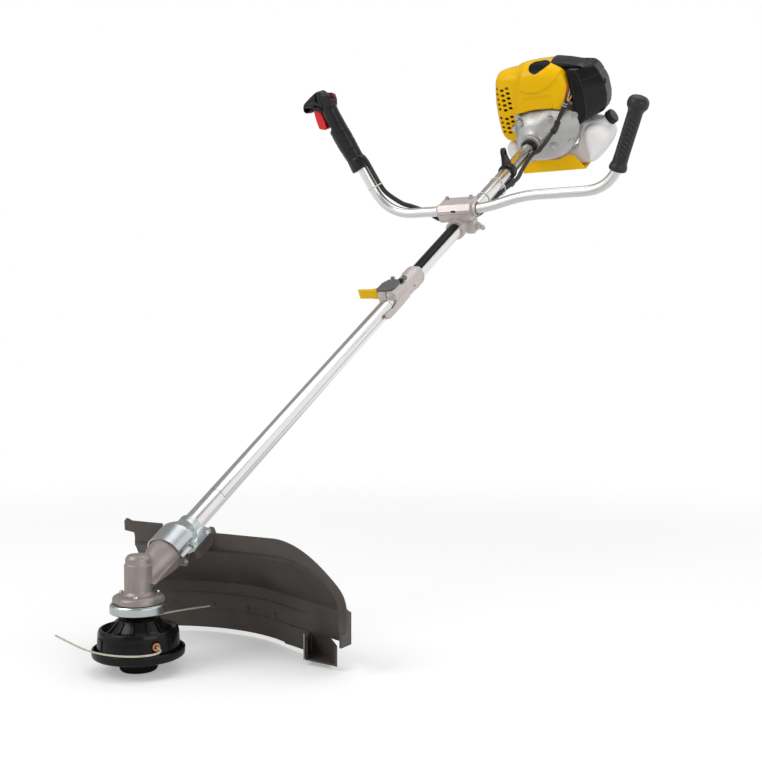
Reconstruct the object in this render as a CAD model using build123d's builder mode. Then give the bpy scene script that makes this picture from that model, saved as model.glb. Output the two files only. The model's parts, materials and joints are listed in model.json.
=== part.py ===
from build123d import *
from math import cos, pi, radians, sin, sqrt, tan
import os

os.makedirs("parts", exist_ok=True)

# --------------------------------------------------------------------------
# Driving dimensions, in millimetres and degrees
# --------------------------------------------------------------------------
SHAFT_TILT = 30.0        # rise of the shaft above the ground
SHAFT_HEIGHT = 109.0     # height at which the shaft axis meets the spool axis
TUBE_R = 14.0            # both shaft tubes, outside
TUBE_WALL = 1.5
DRIVE_R = 4.0            # drive shaft inside the tubes
FIT = 0.05               # radial clearance of a running fit
GAP = 0.3                # clearance between separate moving bodies
BODY_WALL = 2.5          # moulded covers

# Stations along the shaft, from the point where it meets the spool axis
SLEEVE_END = 125.0       # end of the gear case sleeve
LOWER_TUBE_START = 52.0
COUPLER_START = 757.0
COUPLER_END = 872.0
SPLIT = 806.0            # the two tubes meet here
CLAMP_MID = 1092.0       # handlebar clamp
HANGER_MID = 1357.0      # harness hanger
NECK_START = 1500.0      # engine neck
UPPER_TUBE_END = 1518.0

# Trimmer head, heights above the ground
KNOB_R = 24.0
KNOB_TRAVEL = 6.0
COVER_R = 58.5
EYELET_Z = 40.0
EYELET_TURN = -25.0      # bearing of the first eyelet
RING_R = 36.0
RING_Z = 74.0
CASE_Z = 86.5            # underside of the gear case

# Bevel gears
GEAR_TEETH = 19
PINION_TEETH = 14
GEAR_CONE = 35.0         # half angle of the pitch cone of the gear
PINION_CONE = 25.0
CONE_OUT = 22.7          # pitch cone distance to the outer and inner ends of the teeth
CONE_IN = 13.5

# Guard
GUARD_R = 212.0          # outer face of the curved wall, from the spool axis
GUARD_WALL = 2.6
GUARD_FRONT_Y = 107.0
GUARD_TOP = 144.0
GUARD_STEP = 74.0
GUARD_LOW = 33.0
SKIRT_LOW = 6.0

# Handlebar, in its own plane
BAR_R = 10.0
BAR_WALL = 1.4
BAR_RISE = 29.0          # bar axis above the shaft axis
BAR_LEAN = 20.0          # lean of the bar's plane from upright, toward the head
LEFT_CORNER = -157.0     # throttle side corner of the bar
RIGHT_CORNER = 312.0
RIGHT_STEP = 19.5
GRIP_LEAN = 23.0         # outward lean of both grips

# Engine, across the shaft axis
BELL_R = 49.0
DRUM_R = 39.0
FAN_R = 49.0

# --------------------------------------------------------------------------
# Frames
# --------------------------------------------------------------------------
SIDE = Vector(1, 0, 0)
AXIS = Vector(0, cos(radians(SHAFT_TILT)), sin(radians(SHAFT_TILT)))
RISE = Vector(0, -sin(radians(SHAFT_TILT)), cos(radians(SHAFT_TILT)))
CROSSING = Vector(0, 0, SHAFT_HEIGHT)
SHAFT = Axis(CROSSING, AXIS)


def on_shaft(station, side=0.0, rise=0.0):
    """Point at a station along the shaft, beside it and above it."""
    return CROSSING + AXIS * station + SIDE * side + RISE * rise


def across(station, side=0.0, rise=0.0):
    """Plane across the shaft: x is sideways, y is up from the shaft, normal back to the head."""
    return Plane(origin=on_shaft(station, side, rise), x_dir=SIDE, z_dir=-AXIS)


def flank(side=0.0):
    """Plane along the shaft seen from its side: x is the station, y is up, normal sideways."""
    return Plane(origin=on_shaft(0, side), x_dir=AXIS, z_dir=SIDE)


def above(rise=0.0):
    """Plane along the shaft seen from above: x is sideways, y is the station, normal up."""
    return Plane(origin=on_shaft(0, 0, rise), x_dir=SIDE, z_dir=RISE)


def outlined(points, plane):
    """Closed outline of points on a plane, as a sketch."""
    with BuildSketch(plane) as outline:
        with BuildLine():
            Polyline(*points, close=True)
        make_face()
    return outline.sketch


def turned(points, plane, axis, mode=Mode.ADD):
    """Revolve a closed outline of points, inside the active part."""
    revolve(outlined(points, plane), axis=axis, mode=mode)


def turned_on_spool(points, mode=Mode.ADD):
    """Revolve (radius, height) points about the upright spool axis."""
    turned(points, Plane.XZ, Axis.Z, mode)


def turned_on_shaft(points, mode=Mode.ADD):
    """Revolve (station, radius) points about the shaft axis."""
    turned(points, flank(), SHAFT, mode)


def oval(plane, wide, deep):
    """Ellipse on a plane, as a sketch."""
    with BuildSketch(plane) as section:
        Ellipse(wide, deep)
    return section.sketch


def rod(plane, radius, length, mode=Mode.ADD):
    """Add or cut a round rod that starts on a plane and runs along its normal."""
    with BuildSketch(plane) as section:
        Circle(radius)
    extrude(section.sketch, amount=length, mode=mode)


def pipe(plane, radius, bore, length):
    """Add a round pipe that starts on a plane and runs along its normal."""
    with BuildSketch(plane) as section:
        Circle(radius)
        Circle(bore, mode=Mode.SUBTRACT)
    extrude(section.sketch, amount=length)


def cut_round_shaft(start, end, radius):
    """Cut a round hole along the shaft axis."""
    rod(across(end), radius, end - start, Mode.SUBTRACT)


def hex_bolt(plane, radius, length, head_radius, head_height):
    """Add a hexagon bolt whose head sits on the plane and whose shank runs against its normal."""
    with BuildSketch(plane) as head:
        RegularPolygon(head_radius, 6)
    extrude(head.sketch, amount=head_height)
    rod(plane, radius, -length)


def save(builder, name):
    """Label a finished piece and write it to its own file."""
    builder.part.label = name
    export_step(builder.part, f"parts/{name}.step")


# --------------------------------------------------------------------------
# Trimmer head, turning about the upright spool axis
# --------------------------------------------------------------------------
with BuildPart() as bump_knob:
    turned_on_spool([(0, 0), (21, 0), (KNOB_R - 0.6, 2.4), (KNOB_R, 5), (KNOB_R, 21.4),
                     (29, 21.4), (29, 24), (15, 24), (15, 8), (0, 8)])
    with BuildSketch(Plane.XY):
        with PolarLocations(17, 4):
            SlotOverall(9, 4, rotation=90)
    extrude(amount=2.0, mode=Mode.SUBTRACT)
save(bump_knob, "bump_knob")

with BuildPart() as spool_cover:
    turned_on_spool([(KNOB_R + GAP, 18), (54, 18), (57.6, 20), (COVER_R, 23.5), (COVER_R, 30),
                     (55.6, 30), (55.6, 21), (KNOB_R + GAP, 21)])
save(spool_cover, "spool_cover")

with BuildPart() as spool_housing:
    turned_on_spool([(52.4, 21.1), (50.8, 52), (49.6, 55.2), (46.8, 56.8), (44.4, 55.2), (41, 48),
                     (24, 45.6), (19.5, 58), (17.2, 70.8), (5.1, 70.8), (5.1, 62), (8.5, 62),
                     (8.5, 44.8), (14, 42.6), (40.6, 45.2), (46.4, 51.5), (48.2, 51), (49.8, 21.1)])
    with BuildSketch(Plane.XY.offset(46)):
        with PolarLocations(21.2, 12):
            Rectangle(8, 2)
    extrude(amount=8)
    for turn in (EYELET_TURN, EYELET_TURN + 180):
        mouth = Plane(origin=(0, 0, EYELET_Z), z_dir=(cos(radians(turn)), sin(radians(turn)), 0))
        with BuildSketch(mouth.offset(45)):
            Circle(4.0)
        extrude(amount=12, mode=Mode.SUBTRACT)
save(spool_housing, "spool_housing")

with BuildPart() as line_eyelets:
    for turn in (EYELET_TURN, EYELET_TURN + 180):
        mouth = Plane(origin=(0, 0, EYELET_Z), z_dir=(cos(radians(turn)), sin(radians(turn)), 0))
        with BuildSketch(mouth.offset(47.5)):
            Circle(4.0)
            Circle(2.3, mode=Mode.SUBTRACT)
        extrude(amount=5.5)
        with BuildSketch(mouth.offset(53)):
            Circle(5.2)
            Circle(2.3, mode=Mode.SUBTRACT)
        extrude(amount=1.2)
save(line_eyelets, "line_eyelets")

with BuildPart() as line_spool:
    turned_on_spool([(9, 31), (43, 31), (43, 32.6), (40, 33), (40, 37.4), (43, 37.8), (43, 39.4),
                     (12, 39.4), (12, 42), (9, 42)])
save(line_spool, "line_spool")

with BuildPart() as spacer_washer:
    turned_on_spool([(5.1, 71), (21.5, 71), (22.5, 72), (22.5, 73.9), (5.1, 73.9)])
save(spacer_washer, "spacer_washer")

with BuildPart() as holder_ring:
    turned_on_spool([(8.1, RING_Z), (20, RING_Z), (22, 77), (31.5, 77), (33, RING_Z), (35.2, RING_Z),
                     (RING_R, 75), (RING_R, 84), (34.4, 86), (8.1, 86)])
save(holder_ring, "holder_ring")

with BuildPart() as output_shaft:
    turned_on_spool([(0, 62.5), (4.4, 62.5), (5, 63.2), (5, RING_Z), (8, RING_Z), (8, 86.2), (6, 86.2),
                     (6, 131), (5, 131), (5, 141.5), (0, 141.5)])
save(output_shaft, "output_shaft")


def gear_frame(axis_dir, start_dir, turn, cone):
    """Directions along the pitch cone and out of it, at one bearing about the gear's axis."""
    side_dir = axis_dir.cross(start_dir)
    spoke = start_dir * cos(radians(turn)) + side_dir * sin(radians(turn))
    along = axis_dir * cos(radians(cone)) + spoke * sin(radians(cone))
    outward = spoke * cos(radians(cone)) - axis_dir * sin(radians(cone))
    return along, outward


def add_bevel_teeth(axis_dir, start_dir, teeth, cone, phase):
    """Loft every tooth from its outer to its inner end, shrinking toward the apex of the cone."""
    pitch = 2 * pi * CONE_OUT * sin(radians(cone)) / teeth
    for number in range(teeth):
        along, outward = gear_frame(axis_dir, start_dir, (number + phase) * 360 / teeth, cone)
        ends = []
        for distance in (CONE_OUT, CONE_IN):
            size = pitch * distance / CONE_OUT
            section = Plane(origin=CROSSING + along * distance, x_dir=outward, z_dir=along)
            low, high, wide, slim = -0.42 * size, 0.2 * size, 0.27 * size, 0.13 * size
            ends.append(outlined([(low, -wide), (high, -slim), (high, slim), (low, wide)], section))
        loft(ends)


def cone_body(cone, back, bore):
    """Outline of a bevel gear's body below its teeth: (distance along its axis, radius) points."""
    pitch = 2 * pi * CONE_OUT * sin(radians(cone)) / (GEAR_TEETH if cone == GEAR_CONE else PINION_TEETH)
    points = []
    for distance in (CONE_IN, CONE_OUT):
        drop = 0.36 * pitch * distance / CONE_OUT
        radius = distance * sin(radians(cone)) - drop * cos(radians(cone))
        height = distance * cos(radians(cone)) + drop * sin(radians(cone))
        points.append((height, radius))
    return [(points[0][0], bore), points[0], points[1], (back, points[1][1]), (back, bore)]


with BuildPart() as bevel_gear:
    body = cone_body(GEAR_CONE, 22.0, 6.02)
    turned_on_spool([(radius, SHAFT_HEIGHT + height) for height, radius in body])
    add_bevel_teeth(Vector(0, 0, 1), Vector(0, 1, 0), GEAR_TEETH, GEAR_CONE, 0.0)
save(bevel_gear, "bevel_gear")

with BuildPart() as pinion_gear:
    turned_on_shaft(cone_body(PINION_CONE, 25.0, DRIVE_R + 0.02))
    add_bevel_teeth(AXIS, RISE, PINION_TEETH, PINION_CONE, 0.5)
save(pinion_gear, "pinion_gear")

# --------------------------------------------------------------------------
# Nylon line: two ends that leave the eyelets
# --------------------------------------------------------------------------
LINE_R = 1.2
FRONT_LINE = [(48.9, -22.8, 40.0), (58.4, -27.2, 40.0), (66.5, -35.5, 39.6), (66.5, -48.5, 39.0),
              (57.0, -61.5, 38.6), (40.5, -70.5, 38.4), (20.0, -75.5, 38.4), (-2.0, -75.5, 38.6),
              (-24.0, -71.5, 39.0), (-46.0, -64.5, 39.8), (-70.0, -56.5, 41.0), (-96.0, -48.0, 42.5)]
BACK_LINE = [(-48.9, 22.8, 40.0), (-58.0, 27.0, 40.0), (-65.5, 36.5, 40.2), (-68.5, 52.0, 40.6),
             (-67.5, 71.0, 41.2), (-63.0, 92.0, 42.0), (-56.0, 113.5, 42.8), (-47.0, 135.0, 43.5),
             (-36.5, 156.0, 44.0), (-24.0, 177.0, 44.4)]


def arc_radii(points):
    """Radius at each corner of a route: 0.45 of its shorter run over the tangent of half its turn."""
    radii = []
    for before, here, after in zip(points, points[1:], points[2:]):
        arriving = Vector(here) - Vector(before)
        leaving = Vector(after) - Vector(here)
        half_turn = radians(arriving.get_angle(leaving)) / 2
        radii.append(0.45 * min(arriving.length, leaving.length) / tan(half_turn))
    return radii


def round_cord(points, radius):
    """Sweep a round section along runs joined by tangent arcs, inside the active part."""
    with BuildLine() as route:
        FilletPolyline(*points, radius=arc_radii(points))
    with BuildSketch(Plane(origin=points[0], z_dir=Vector(points[1]) - Vector(points[0]))) as section:
        Circle(radius)
    sweep(section.sketch, path=route.line)


with BuildPart() as cutting_line_front:
    round_cord(FRONT_LINE, LINE_R)
save(cutting_line_front, "cutting_line_front")

with BuildPart() as cutting_line_back:
    round_cord(BACK_LINE, LINE_R)
save(cutting_line_back, "cutting_line_back")

for route_name, route in (("front line", FRONT_LINE), ("back line", BACK_LINE)):
    print(route_name, "smallest radius", round(min(arc_radii(route)), 1))

# --------------------------------------------------------------------------
# Gear case and its bearings
# --------------------------------------------------------------------------
with BuildPart() as gear_case:
    turned_on_spool([(0, CASE_Z), (31.5, CASE_Z), (31.5, 95), (29.5, 97.2), (19, 97.6), (17.6, 99.5),
                     (17.6, 134), (16.6, 135), (16.4, 143), (13.5, 147), (9, 148), (0, 148)])
    with BuildSketch(Plane.XY.offset(CASE_Z)):
        with PolarLocations(24.5, 3, start_angle=65):
            Circle(9)
    extrude(amount=9.2)
    with BuildSketch(Plane.XY.offset(96)):
        with PolarLocations(17, 3, start_angle=185, angular_range=240):
            Circle(2.6)
    extrude(amount=37)
    turned_on_shaft([(2, 0), (2, 15), (14, 17.5), (34, 19.5), (58, 24), (120, 24), (SLEEVE_END, 22.5),
                     (SLEEVE_END, 0)])
    with BuildSketch(flank(-9)):
        with Locations((74, -25), (98, -25)):
            SlotOverall(14, 9, rotation=90)
    extrude(amount=18)
    turned_on_spool([(0, CASE_Z - 1), (16, CASE_Z - 1), (16, 97), (15, 97), (15, 133), (11, 133),
                     (11, 142.5), (0, 142.5)], Mode.SUBTRACT)
    cut_round_shaft(6, 60, 12)
    cut_round_shaft(LOWER_TUBE_START, SLEEVE_END + 1, TUBE_R)
    with BuildSketch(above(-30)):
        with Locations((0, 102)):
            Rectangle(2.4, 60)
    extrude(amount=17, mode=Mode.SUBTRACT)
save(gear_case, "gear_case")

with BuildPart() as gearcase_bearings:
    turned_on_spool([(6 + FIT, 87), (16, 87), (16, 97), (6 + FIT, 97)])
    turned_on_spool([(5 + FIT, 133.2), (11, 133.2), (11, 140.2), (5 + FIT, 140.2)])
    turned_on_shaft([(27, DRIVE_R + FIT), (27, 12), (35, 12), (35, DRIVE_R + FIT)])
    turned_on_shaft([(37, DRIVE_R + FIT), (37, 12), (45, 12), (45, DRIVE_R + FIT)])
save(gearcase_bearings, "gearcase_bearings")

# --------------------------------------------------------------------------
# Guard
# --------------------------------------------------------------------------
WING_RISE = -3.0         # underside of the bracket's wings, above the shaft axis


def guard_wall_y(x):
    """Outer face of the guard's wall: an arc about the spool, then a straight run to the corner."""
    if x < 106:
        return sqrt(GUARD_R**2 - x**2)
    return 183.6 - (x - 106) * 0.4


def guard_top_z(x):
    """Front top edge of the deck: level, then falling in a quarter ellipse to the corner."""
    if x < 140:
        return GUARD_TOP
    return GUARD_STEP + 3 + (GUARD_TOP - GUARD_STEP - 3) * sqrt(max(0.0, 1 - ((x - 140) / 96.5) ** 2))


def guard_section(x, inset):
    """Sketch of the guard across the machine at one x, its faces moved in by the inset."""
    front = GUARD_FRONT_Y if inset == 0 else GUARD_FRONT_Y - 6
    back = guard_wall_y(x) - inset
    low = GUARD_LOW if inset == 0 else GUARD_LOW - 6
    corners = [(front, guard_top_z(x) - 1.25 * inset), (back, GUARD_STEP - 0.5 * inset), (back, low),
               (front, low)]
    return outlined(corners, Plane(origin=(x, 0, 0), x_dir=(0, 1, 0), z_dir=(1, 0, 0)))


with BuildPart() as guard:
    spans = [-125, -100, -75, -50, -25, 0, 25, 50, 75, 90, 106, 122, 140, 156, 172, 188, 204, 218]
    loft([guard_section(x, 0) for x in [-146] + spans + [228, 236]], ruled=True)
    loft([guard_section(x, GUARD_WALL) for x in [-150] + spans + [225, 233]], ruled=True, mode=Mode.SUBTRACT)
    with BuildSketch(Plane.XY):
        with BuildLine():
            Polyline((-97, 100), (-160, 100), (-160, 190), (-142, 190), close=True)
        make_face()
    extrude(amount=200, mode=Mode.SUBTRACT)
    with BuildSketch(Plane(origin=(0, GUARD_FRONT_Y, 0), x_dir=(1, 0, 0), z_dir=(0, -1, 0))):
        with BuildLine():
            Polyline((244, 52), (236, 50), (233.4, 60), (233.4, 78))
            Spline((233.4, 78), (226, 99), (210, 117), (186, 131), (157, 139.5), (136, 142))
            Polyline((136, 142), (-97, 142), (-99, 153), (-116, 155), (-117, 168), (-113, 172), (-104, 169),
                     (-50, 169), (-50, 163), (136, 163))
            Spline((136, 163), (171, 154), (200, 137), (223, 118), (240, 98), (244.5, 82), (244, 52))
        make_face()
    extrude(amount=3)
    with BuildSketch(above(WING_RISE)):
        with Locations((0, 101.5)):
            RectangleRounded(78, 51, 8)
    extrude(amount=-14)
    cut_round_shaft(40, 133, 27.2)
    cut_round_shaft(130, 175, TUBE_R + 3)
    with BuildSketch(above(WING_RISE)):
        with Locations((-31, 84), (31, 84), (-31, 114), (31, 114)):
            Circle(2.6)
    extrude(amount=-14.5, mode=Mode.SUBTRACT)
save(guard, "guard")

with BuildPart() as guard_bracket:
    turned_on_shaft([(64, 24.4), (64, 26.8), (122, 26.8), (142, 16.8), (166, 16.4), (166, 14.1), (140, 14.2),
                     (125.5, 24.2)])
    with BuildSketch(above(WING_RISE)):
        Rectangle(80, 400)
    extrude(amount=-40, mode=Mode.SUBTRACT)
    with BuildSketch(above(WING_RISE)):
        with Locations((0, 98)):
            RectangleRounded(76, 52, 9)
        with Locations((0, 98)):
            Rectangle(50.5, 60, mode=Mode.SUBTRACT)
    extrude(amount=2.5)
    with BuildSketch(above(WING_RISE)):
        with Locations((-31, 84), (31, 84), (-31, 114), (31, 114)):
            Circle(2.6)
    extrude(amount=3, mode=Mode.SUBTRACT)
save(guard_bracket, "guard_bracket")

with BuildPart() as guard_bolts:
    for bolt_x in (-31, 31):
        for bolt_t in (84, 114):
            seat = Plane(origin=on_shaft(bolt_t, bolt_x, WING_RISE + 2.5), x_dir=SIDE, z_dir=RISE)
            hex_bolt(seat, 2.5, 14, 3.9, 3.4)
save(guard_bolts, "guard_bolts")

KNIFE_FRONT = (171.0, 124.0)    # corners of the cutter pocket in plan
KNIFE_BACK = (154.0, 158.0)
POCKET_FAR = (195.0, 148.0)
POCKET_NEAR = (224.0, 117.0)

with BuildPart() as guard_skirt:
    with BuildSketch(Plane.XY.offset(SKIRT_LOW)):
        with BuildLine():
            outer = [(x, guard_wall_y(x)) for x in (-138, -105, -60, 0, 60, 100)]
            inner = [(x, guard_wall_y(x) - GUARD_WALL) for x in (100, 60, 0, -60, -105, -138)]
            Spline(*outer)
            Polyline(outer[-1], POCKET_FAR, POCKET_NEAR, (222.2, 115.4), (193.4, 145.9), (100, 181.0), inner[0])
            Spline(*inner)
            Line(inner[-1], outer[0])
        make_face()
    extrude(amount=GUARD_LOW - SKIRT_LOW - 0.1)
    with BuildSketch(Plane.XY.offset(SKIRT_LOW)):
        with BuildLine():
            Polyline(KNIFE_FRONT, KNIFE_BACK, (157.0, 159.0), (173.6, 125.2), close=True)
        make_face()
    extrude(amount=GUARD_LOW - SKIRT_LOW - 0.1)
    with BuildSketch(Plane.XY.offset(SKIRT_LOW)):
        with BuildLine():
            Polyline(KNIFE_FRONT, KNIFE_BACK, POCKET_FAR, POCKET_NEAR, close=True)
        make_face()
    extrude(amount=2.4)
save(guard_skirt, "guard_skirt")

knife_dir = (Vector(*KNIFE_FRONT, 0) - Vector(*KNIFE_BACK, 0)).normalized()
knife_face = Plane(origin=Vector(*KNIFE_FRONT, 0), x_dir=knife_dir, z_dir=knife_dir.cross(Vector(0, 0, 1)))

with BuildPart() as line_cutter:
    with BuildSketch(knife_face):
        with BuildLine():
            Polyline((-26, 10), (-2, 8), (7, 8), (7, 42), (2, 46), (-4, 31), (-26, 31), close=True)
        make_face()
    extrude(amount=1.6)
save(line_cutter, "line_cutter")

# --------------------------------------------------------------------------
# Shaft: two tubes, the drive shafts inside them and their bushings
# --------------------------------------------------------------------------
with BuildPart() as lower_tube:
    pipe(across(SPLIT), TUBE_R, TUBE_R - TUBE_WALL, SPLIT - LOWER_TUBE_START)
save(lower_tube, "lower_tube")

with BuildPart() as upper_tube:
    pipe(across(UPPER_TUBE_END), TUBE_R, TUBE_R - TUBE_WALL, UPPER_TUBE_END - SPLIT - GAP)
save(upper_tube, "upper_tube")

with BuildPart() as lower_drive_shaft:
    rod(across(778), DRIVE_R, 778 - 12.6)
    with BuildSketch(across(799)):
        Rectangle(5.6, 5.6)
    extrude(amount=21.1)
save(lower_drive_shaft, "lower_drive_shaft")

with BuildPart() as upper_drive_shaft:
    rod(across(1533.6), DRIVE_R, 1533.6 - 810)
    rod(across(812), 8, 31)
    with BuildSketch(across(800)):
        Rectangle(5.8, 5.8)
    extrude(amount=20, mode=Mode.SUBTRACT)
save(upper_drive_shaft, "upper_drive_shaft")

with BuildPart() as shaft_bushings:
    for station in (200, 420, 640, 950, 1250):
        pipe(across(station), TUBE_R - TUBE_WALL, DRIVE_R + FIT, 16)
save(shaft_bushings, "shaft_bushings")

# --------------------------------------------------------------------------
# Split-shaft coupler
# --------------------------------------------------------------------------
LEVER_X = -27.0          # pivot of the coupler lever
LEVER_T = 771.0
PIN_X = 5.0              # lock pin
PIN_T = 806.0

with BuildPart() as shaft_coupler:
    turned_on_shaft([(COUPLER_START, TUBE_R), (COUPLER_START, 17.6), (COUPLER_START + 2, 18.4), (790, 18.4),
                     (812, 17.4), (835, 18.2), (850, 19.6), (866, 19.2), (870, 17.4), (COUPLER_END, TUBE_R)])
    with BuildSketch(across(790)):
        with BuildLine():
            Polyline((-20.5, -2), (-20.5, 18), (-17, 22), (10, 22), (15, 15), (15, 4), close=True)
        make_face()
    extrude(amount=31)
    with BuildSketch(flank(15.6)):
        with BuildLine():
            Polyline((706, 5), (706, -4), (716, -8), (770, -9), (800, -8), (800, 8), (762, 6), (740, 1),
                     (722, 4), close=True)
        make_face()
    extrude(amount=3.6)
    with BuildSketch(across(826, 17.4, 0)):
        Circle(3.2)
    extrude(amount=-9)
    cut_round_shaft(COUPLER_START - 1, COUPLER_END + 1, TUBE_R)
    with BuildSketch(across(796)):
        with Locations((-3, 19)):
            Rectangle(2, 16)
    extrude(amount=45, mode=Mode.SUBTRACT)
    rod(Plane(origin=on_shaft(PIN_T, PIN_X, 8), x_dir=SIDE, z_dir=RISE), 3.2, 20, Mode.SUBTRACT)
save(shaft_coupler, "shaft_coupler")

with BuildPart() as coupler_cover:
    with BuildSketch(above(22.1)):
        with BuildLine():
            Polyline((-22, 760), (-22, 785), (-14, 799), (4, 799), (12, 790), (12, 768), (4, 760), close=True)
        make_face()
    extrude(amount=5)
save(coupler_cover, "coupler_cover")

with BuildPart() as coupler_lever:
    pivot = Plane(origin=on_shaft(LEVER_T, LEVER_X, 5), x_dir=SIDE, z_dir=RISE)
    rod(pivot, 6, 17)
    with BuildSketch(pivot):
        with BuildLine():
            Polyline((0, -5.8), (-14, -3.4), (-36, -2.6), (-38, -1), (-38, 1), (-36, 2), (-14, 1.4), (0, 4),
                     close=True)
        make_face()
    extrude(amount=17)
save(coupler_lever, "coupler_lever")

with BuildPart() as lock_pin:
    seat = Plane(origin=on_shaft(PIN_T, PIN_X, 14), x_dir=SIDE, z_dir=RISE)
    rod(seat, 3.1, 6)
    rod(seat.offset(4.2), 5.0, 5)
save(lock_pin, "lock_pin")

# --------------------------------------------------------------------------
# Handlebar, its clamp and its grips
# --------------------------------------------------------------------------
BAR_UP = Vector(0, -sin(radians(BAR_LEAN)), cos(radians(BAR_LEAN)))
BAR_OUT = Vector(0, -cos(radians(BAR_LEAN)), -sin(radians(BAR_LEAN)))
BAR_MID = on_shaft(CLAMP_MID, 0, BAR_RISE)
BAR_PLANE = Plane(origin=BAR_MID, x_dir=SIDE, z_dir=BAR_OUT)
LEFT_LEAN = 22.6
RIGHT_LEAN = 23.5
LEFT_END = 206.0         # bar ends, measured from each corner
RIGHT_END = 168.0


def bar_point(x, up, out=0.0):
    """Point in the handlebar's frame: sideways, up along its plane, and out toward the head."""
    return BAR_MID + SIDE * x + BAR_UP * up + BAR_OUT * out


class Grip:
    """Frame of one grip: 'outward' leaves the machine, 'along' climbs the grip from its corner."""

    def __init__(self, corner_x, corner_up, lean, hand):
        self.corner = bar_point(corner_x, corner_up)
        self.outward = SIDE * (hand * cos(radians(lean))) - BAR_UP * sin(radians(lean))
        self.along = SIDE * (hand * sin(radians(lean))) + BAR_UP * cos(radians(lean))
        self.hand = hand

    def point(self, outward, along, front=0.0):
        """Point at a distance outward, along and to the front."""
        return self.corner + self.outward * outward + self.along * along + BAR_OUT * front

    def ring(self, along, outward=0.0):
        """Plane across the grip."""
        return Plane(origin=self.point(outward, along), x_dir=self.outward, z_dir=self.along)

    def face(self, front=0.0):
        """Plane of the bar through the grip: x outward, y along; normal to the front on the right hand."""
        return Plane(origin=self.point(0, 0, front), x_dir=self.outward, z_dir=BAR_OUT * self.hand)


LEFT = Grip(LEFT_CORNER, 0.0, LEFT_LEAN, -1)
RIGHT = Grip(RIGHT_CORNER, RIGHT_STEP, RIGHT_LEAN, 1)


def in_bar_plane(point):
    """A world point in the bar plane, as its plane coordinates."""
    return (point - BAR_MID).dot(SIDE), (point - BAR_MID).dot(BAR_UP)


with BuildPart() as handlebar:
    corners = [in_bar_plane(LEFT.point(0, LEFT_END)), (LEFT_CORNER, 0), (56, 0), (140, RIGHT_STEP + 0.4),
               (RIGHT_CORNER, RIGHT_STEP), in_bar_plane(RIGHT.point(0, RIGHT_END))]
    with BuildLine(BAR_PLANE) as bar_route:
        FilletPolyline(*corners, radius=[64, 95, 95, 55])
    with BuildSketch(Plane(origin=LEFT.point(0, LEFT_END), x_dir=LEFT.outward, z_dir=-LEFT.along)) as bar_ring:
        Circle(BAR_R)
        Circle(BAR_R - BAR_WALL, mode=Mode.SUBTRACT)
    sweep(bar_ring.sketch, path=bar_route.line)
save(handlebar, "handlebar")

CLAMP_HALF = 34.0
with BuildPart() as handle_clamp_base:
    with BuildSketch(flank(-CLAMP_HALF)):
        with BuildLine():
            Polyline((1074, 12), (1070, 20), (1070, BAR_RISE - GAP), (1116, BAR_RISE - GAP), (1116, 20),
                     (1110, 12), close=True)
        make_face()
    extrude(amount=2 * CLAMP_HALF)
    pipe(across(1108), 19.5, TUBE_R, 48)
    with BuildSketch(across(1106)):
        with Locations((21, -6)):
            RectangleRounded(18, 26, 3)
    extrude(amount=22)
    rod(Plane(origin=on_shaft(1095, 17, -6), x_dir=AXIS, z_dir=SIDE), 3, 20)
    rod(Plane(origin=bar_point(CLAMP_HALF, 0), x_dir=AXIS, z_dir=SIDE), 14.2, 8)
    rod(Plane(origin=bar_point(CLAMP_HALF - 90, 0), x_dir=AXIS, z_dir=SIDE), BAR_R + FIT, 140, Mode.SUBTRACT)
    cut_round_shaft(1050, 1120, TUBE_R)
    with BuildSketch(flank(CLAMP_HALF)):
        with Locations((1093, BAR_RISE + 20 - GAP)):
            Rectangle(60, 40)
    extrude(amount=-2 * CLAMP_HALF, mode=Mode.SUBTRACT)
save(handle_clamp_base, "handle_clamp_base")

with BuildPart() as handle_clamp_cap:
    with BuildSketch(flank(-CLAMP_HALF)):
        with BuildLine():
            Polyline((1070, BAR_RISE + GAP), (1070, 36), (1079, 46), (1116, 46), (1116, BAR_RISE + GAP),
                     close=True)
        make_face()
    extrude(amount=2 * CLAMP_HALF)
    rod(Plane(origin=bar_point(-90, 0), x_dir=AXIS, z_dir=SIDE), BAR_R + FIT, 180, Mode.SUBTRACT)
    with BuildSketch(above(BAR_RISE)):
        with Locations((-26, 1109), (26, 1109)):
            Circle(2.6)
    extrude(amount=30, mode=Mode.SUBTRACT)
save(handle_clamp_cap, "handle_clamp_cap")

with BuildPart() as handle_clamp_bolts:
    for bolt_x in (-26, 26):
        hex_bolt(Plane(origin=on_shaft(1109, bolt_x, 46.1), x_dir=SIDE, z_dir=RISE), 2.5, 17, 4.2, 5)
save(handle_clamp_bolts, "handle_clamp_bolts")

with BuildPart() as throttle_grip:
    sections = [(107, 1, 21, 18), (124, 1, 20, 17.4), (133, 3, 18.4, 16), (165, 4, 20, 17), (196, 4, 19.6, 17),
                (214, 4, 18.8, 16), (238, 3, 18, 15)]
    loft([oval(LEFT.ring(along, centre), wide, deep) for along, centre, wide, deep in sections])
    with BuildSketch(LEFT.face(14)):
        with BuildLine():
            Polyline((-12, 236), (-19, 246), (-23, 252), (-19, 269), (-6.5, 272), (-4, 280), (4, 281),
                     (44, 275), (48, 268), (46, 258), (36, 240), (12, 238), close=True)
        make_face()
    extrude(amount=28)
    with BuildSketch(LEFT.face(20)):
        with BuildLine():
            Polyline((32, 257), (24, 258), (9, 246), (11, 230), (12.2, 203), (26, 199), (40, 215), (40, 230),
                     close=True)
        make_face()
    extrude(amount=28.4, mode=Mode.SUBTRACT)
    with BuildSketch(LEFT.face(4.4)):
        with BuildLine():
            Polyline((-30, 253), (-14, 253), (-14, 267.4), (-30, 267.4), close=True)
        make_face()
    extrude(amount=8.8, mode=Mode.SUBTRACT)
    rod(LEFT.ring(100), BAR_R, LEFT_END - 100, Mode.SUBTRACT)
save(throttle_grip, "throttle_grip")

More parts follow.
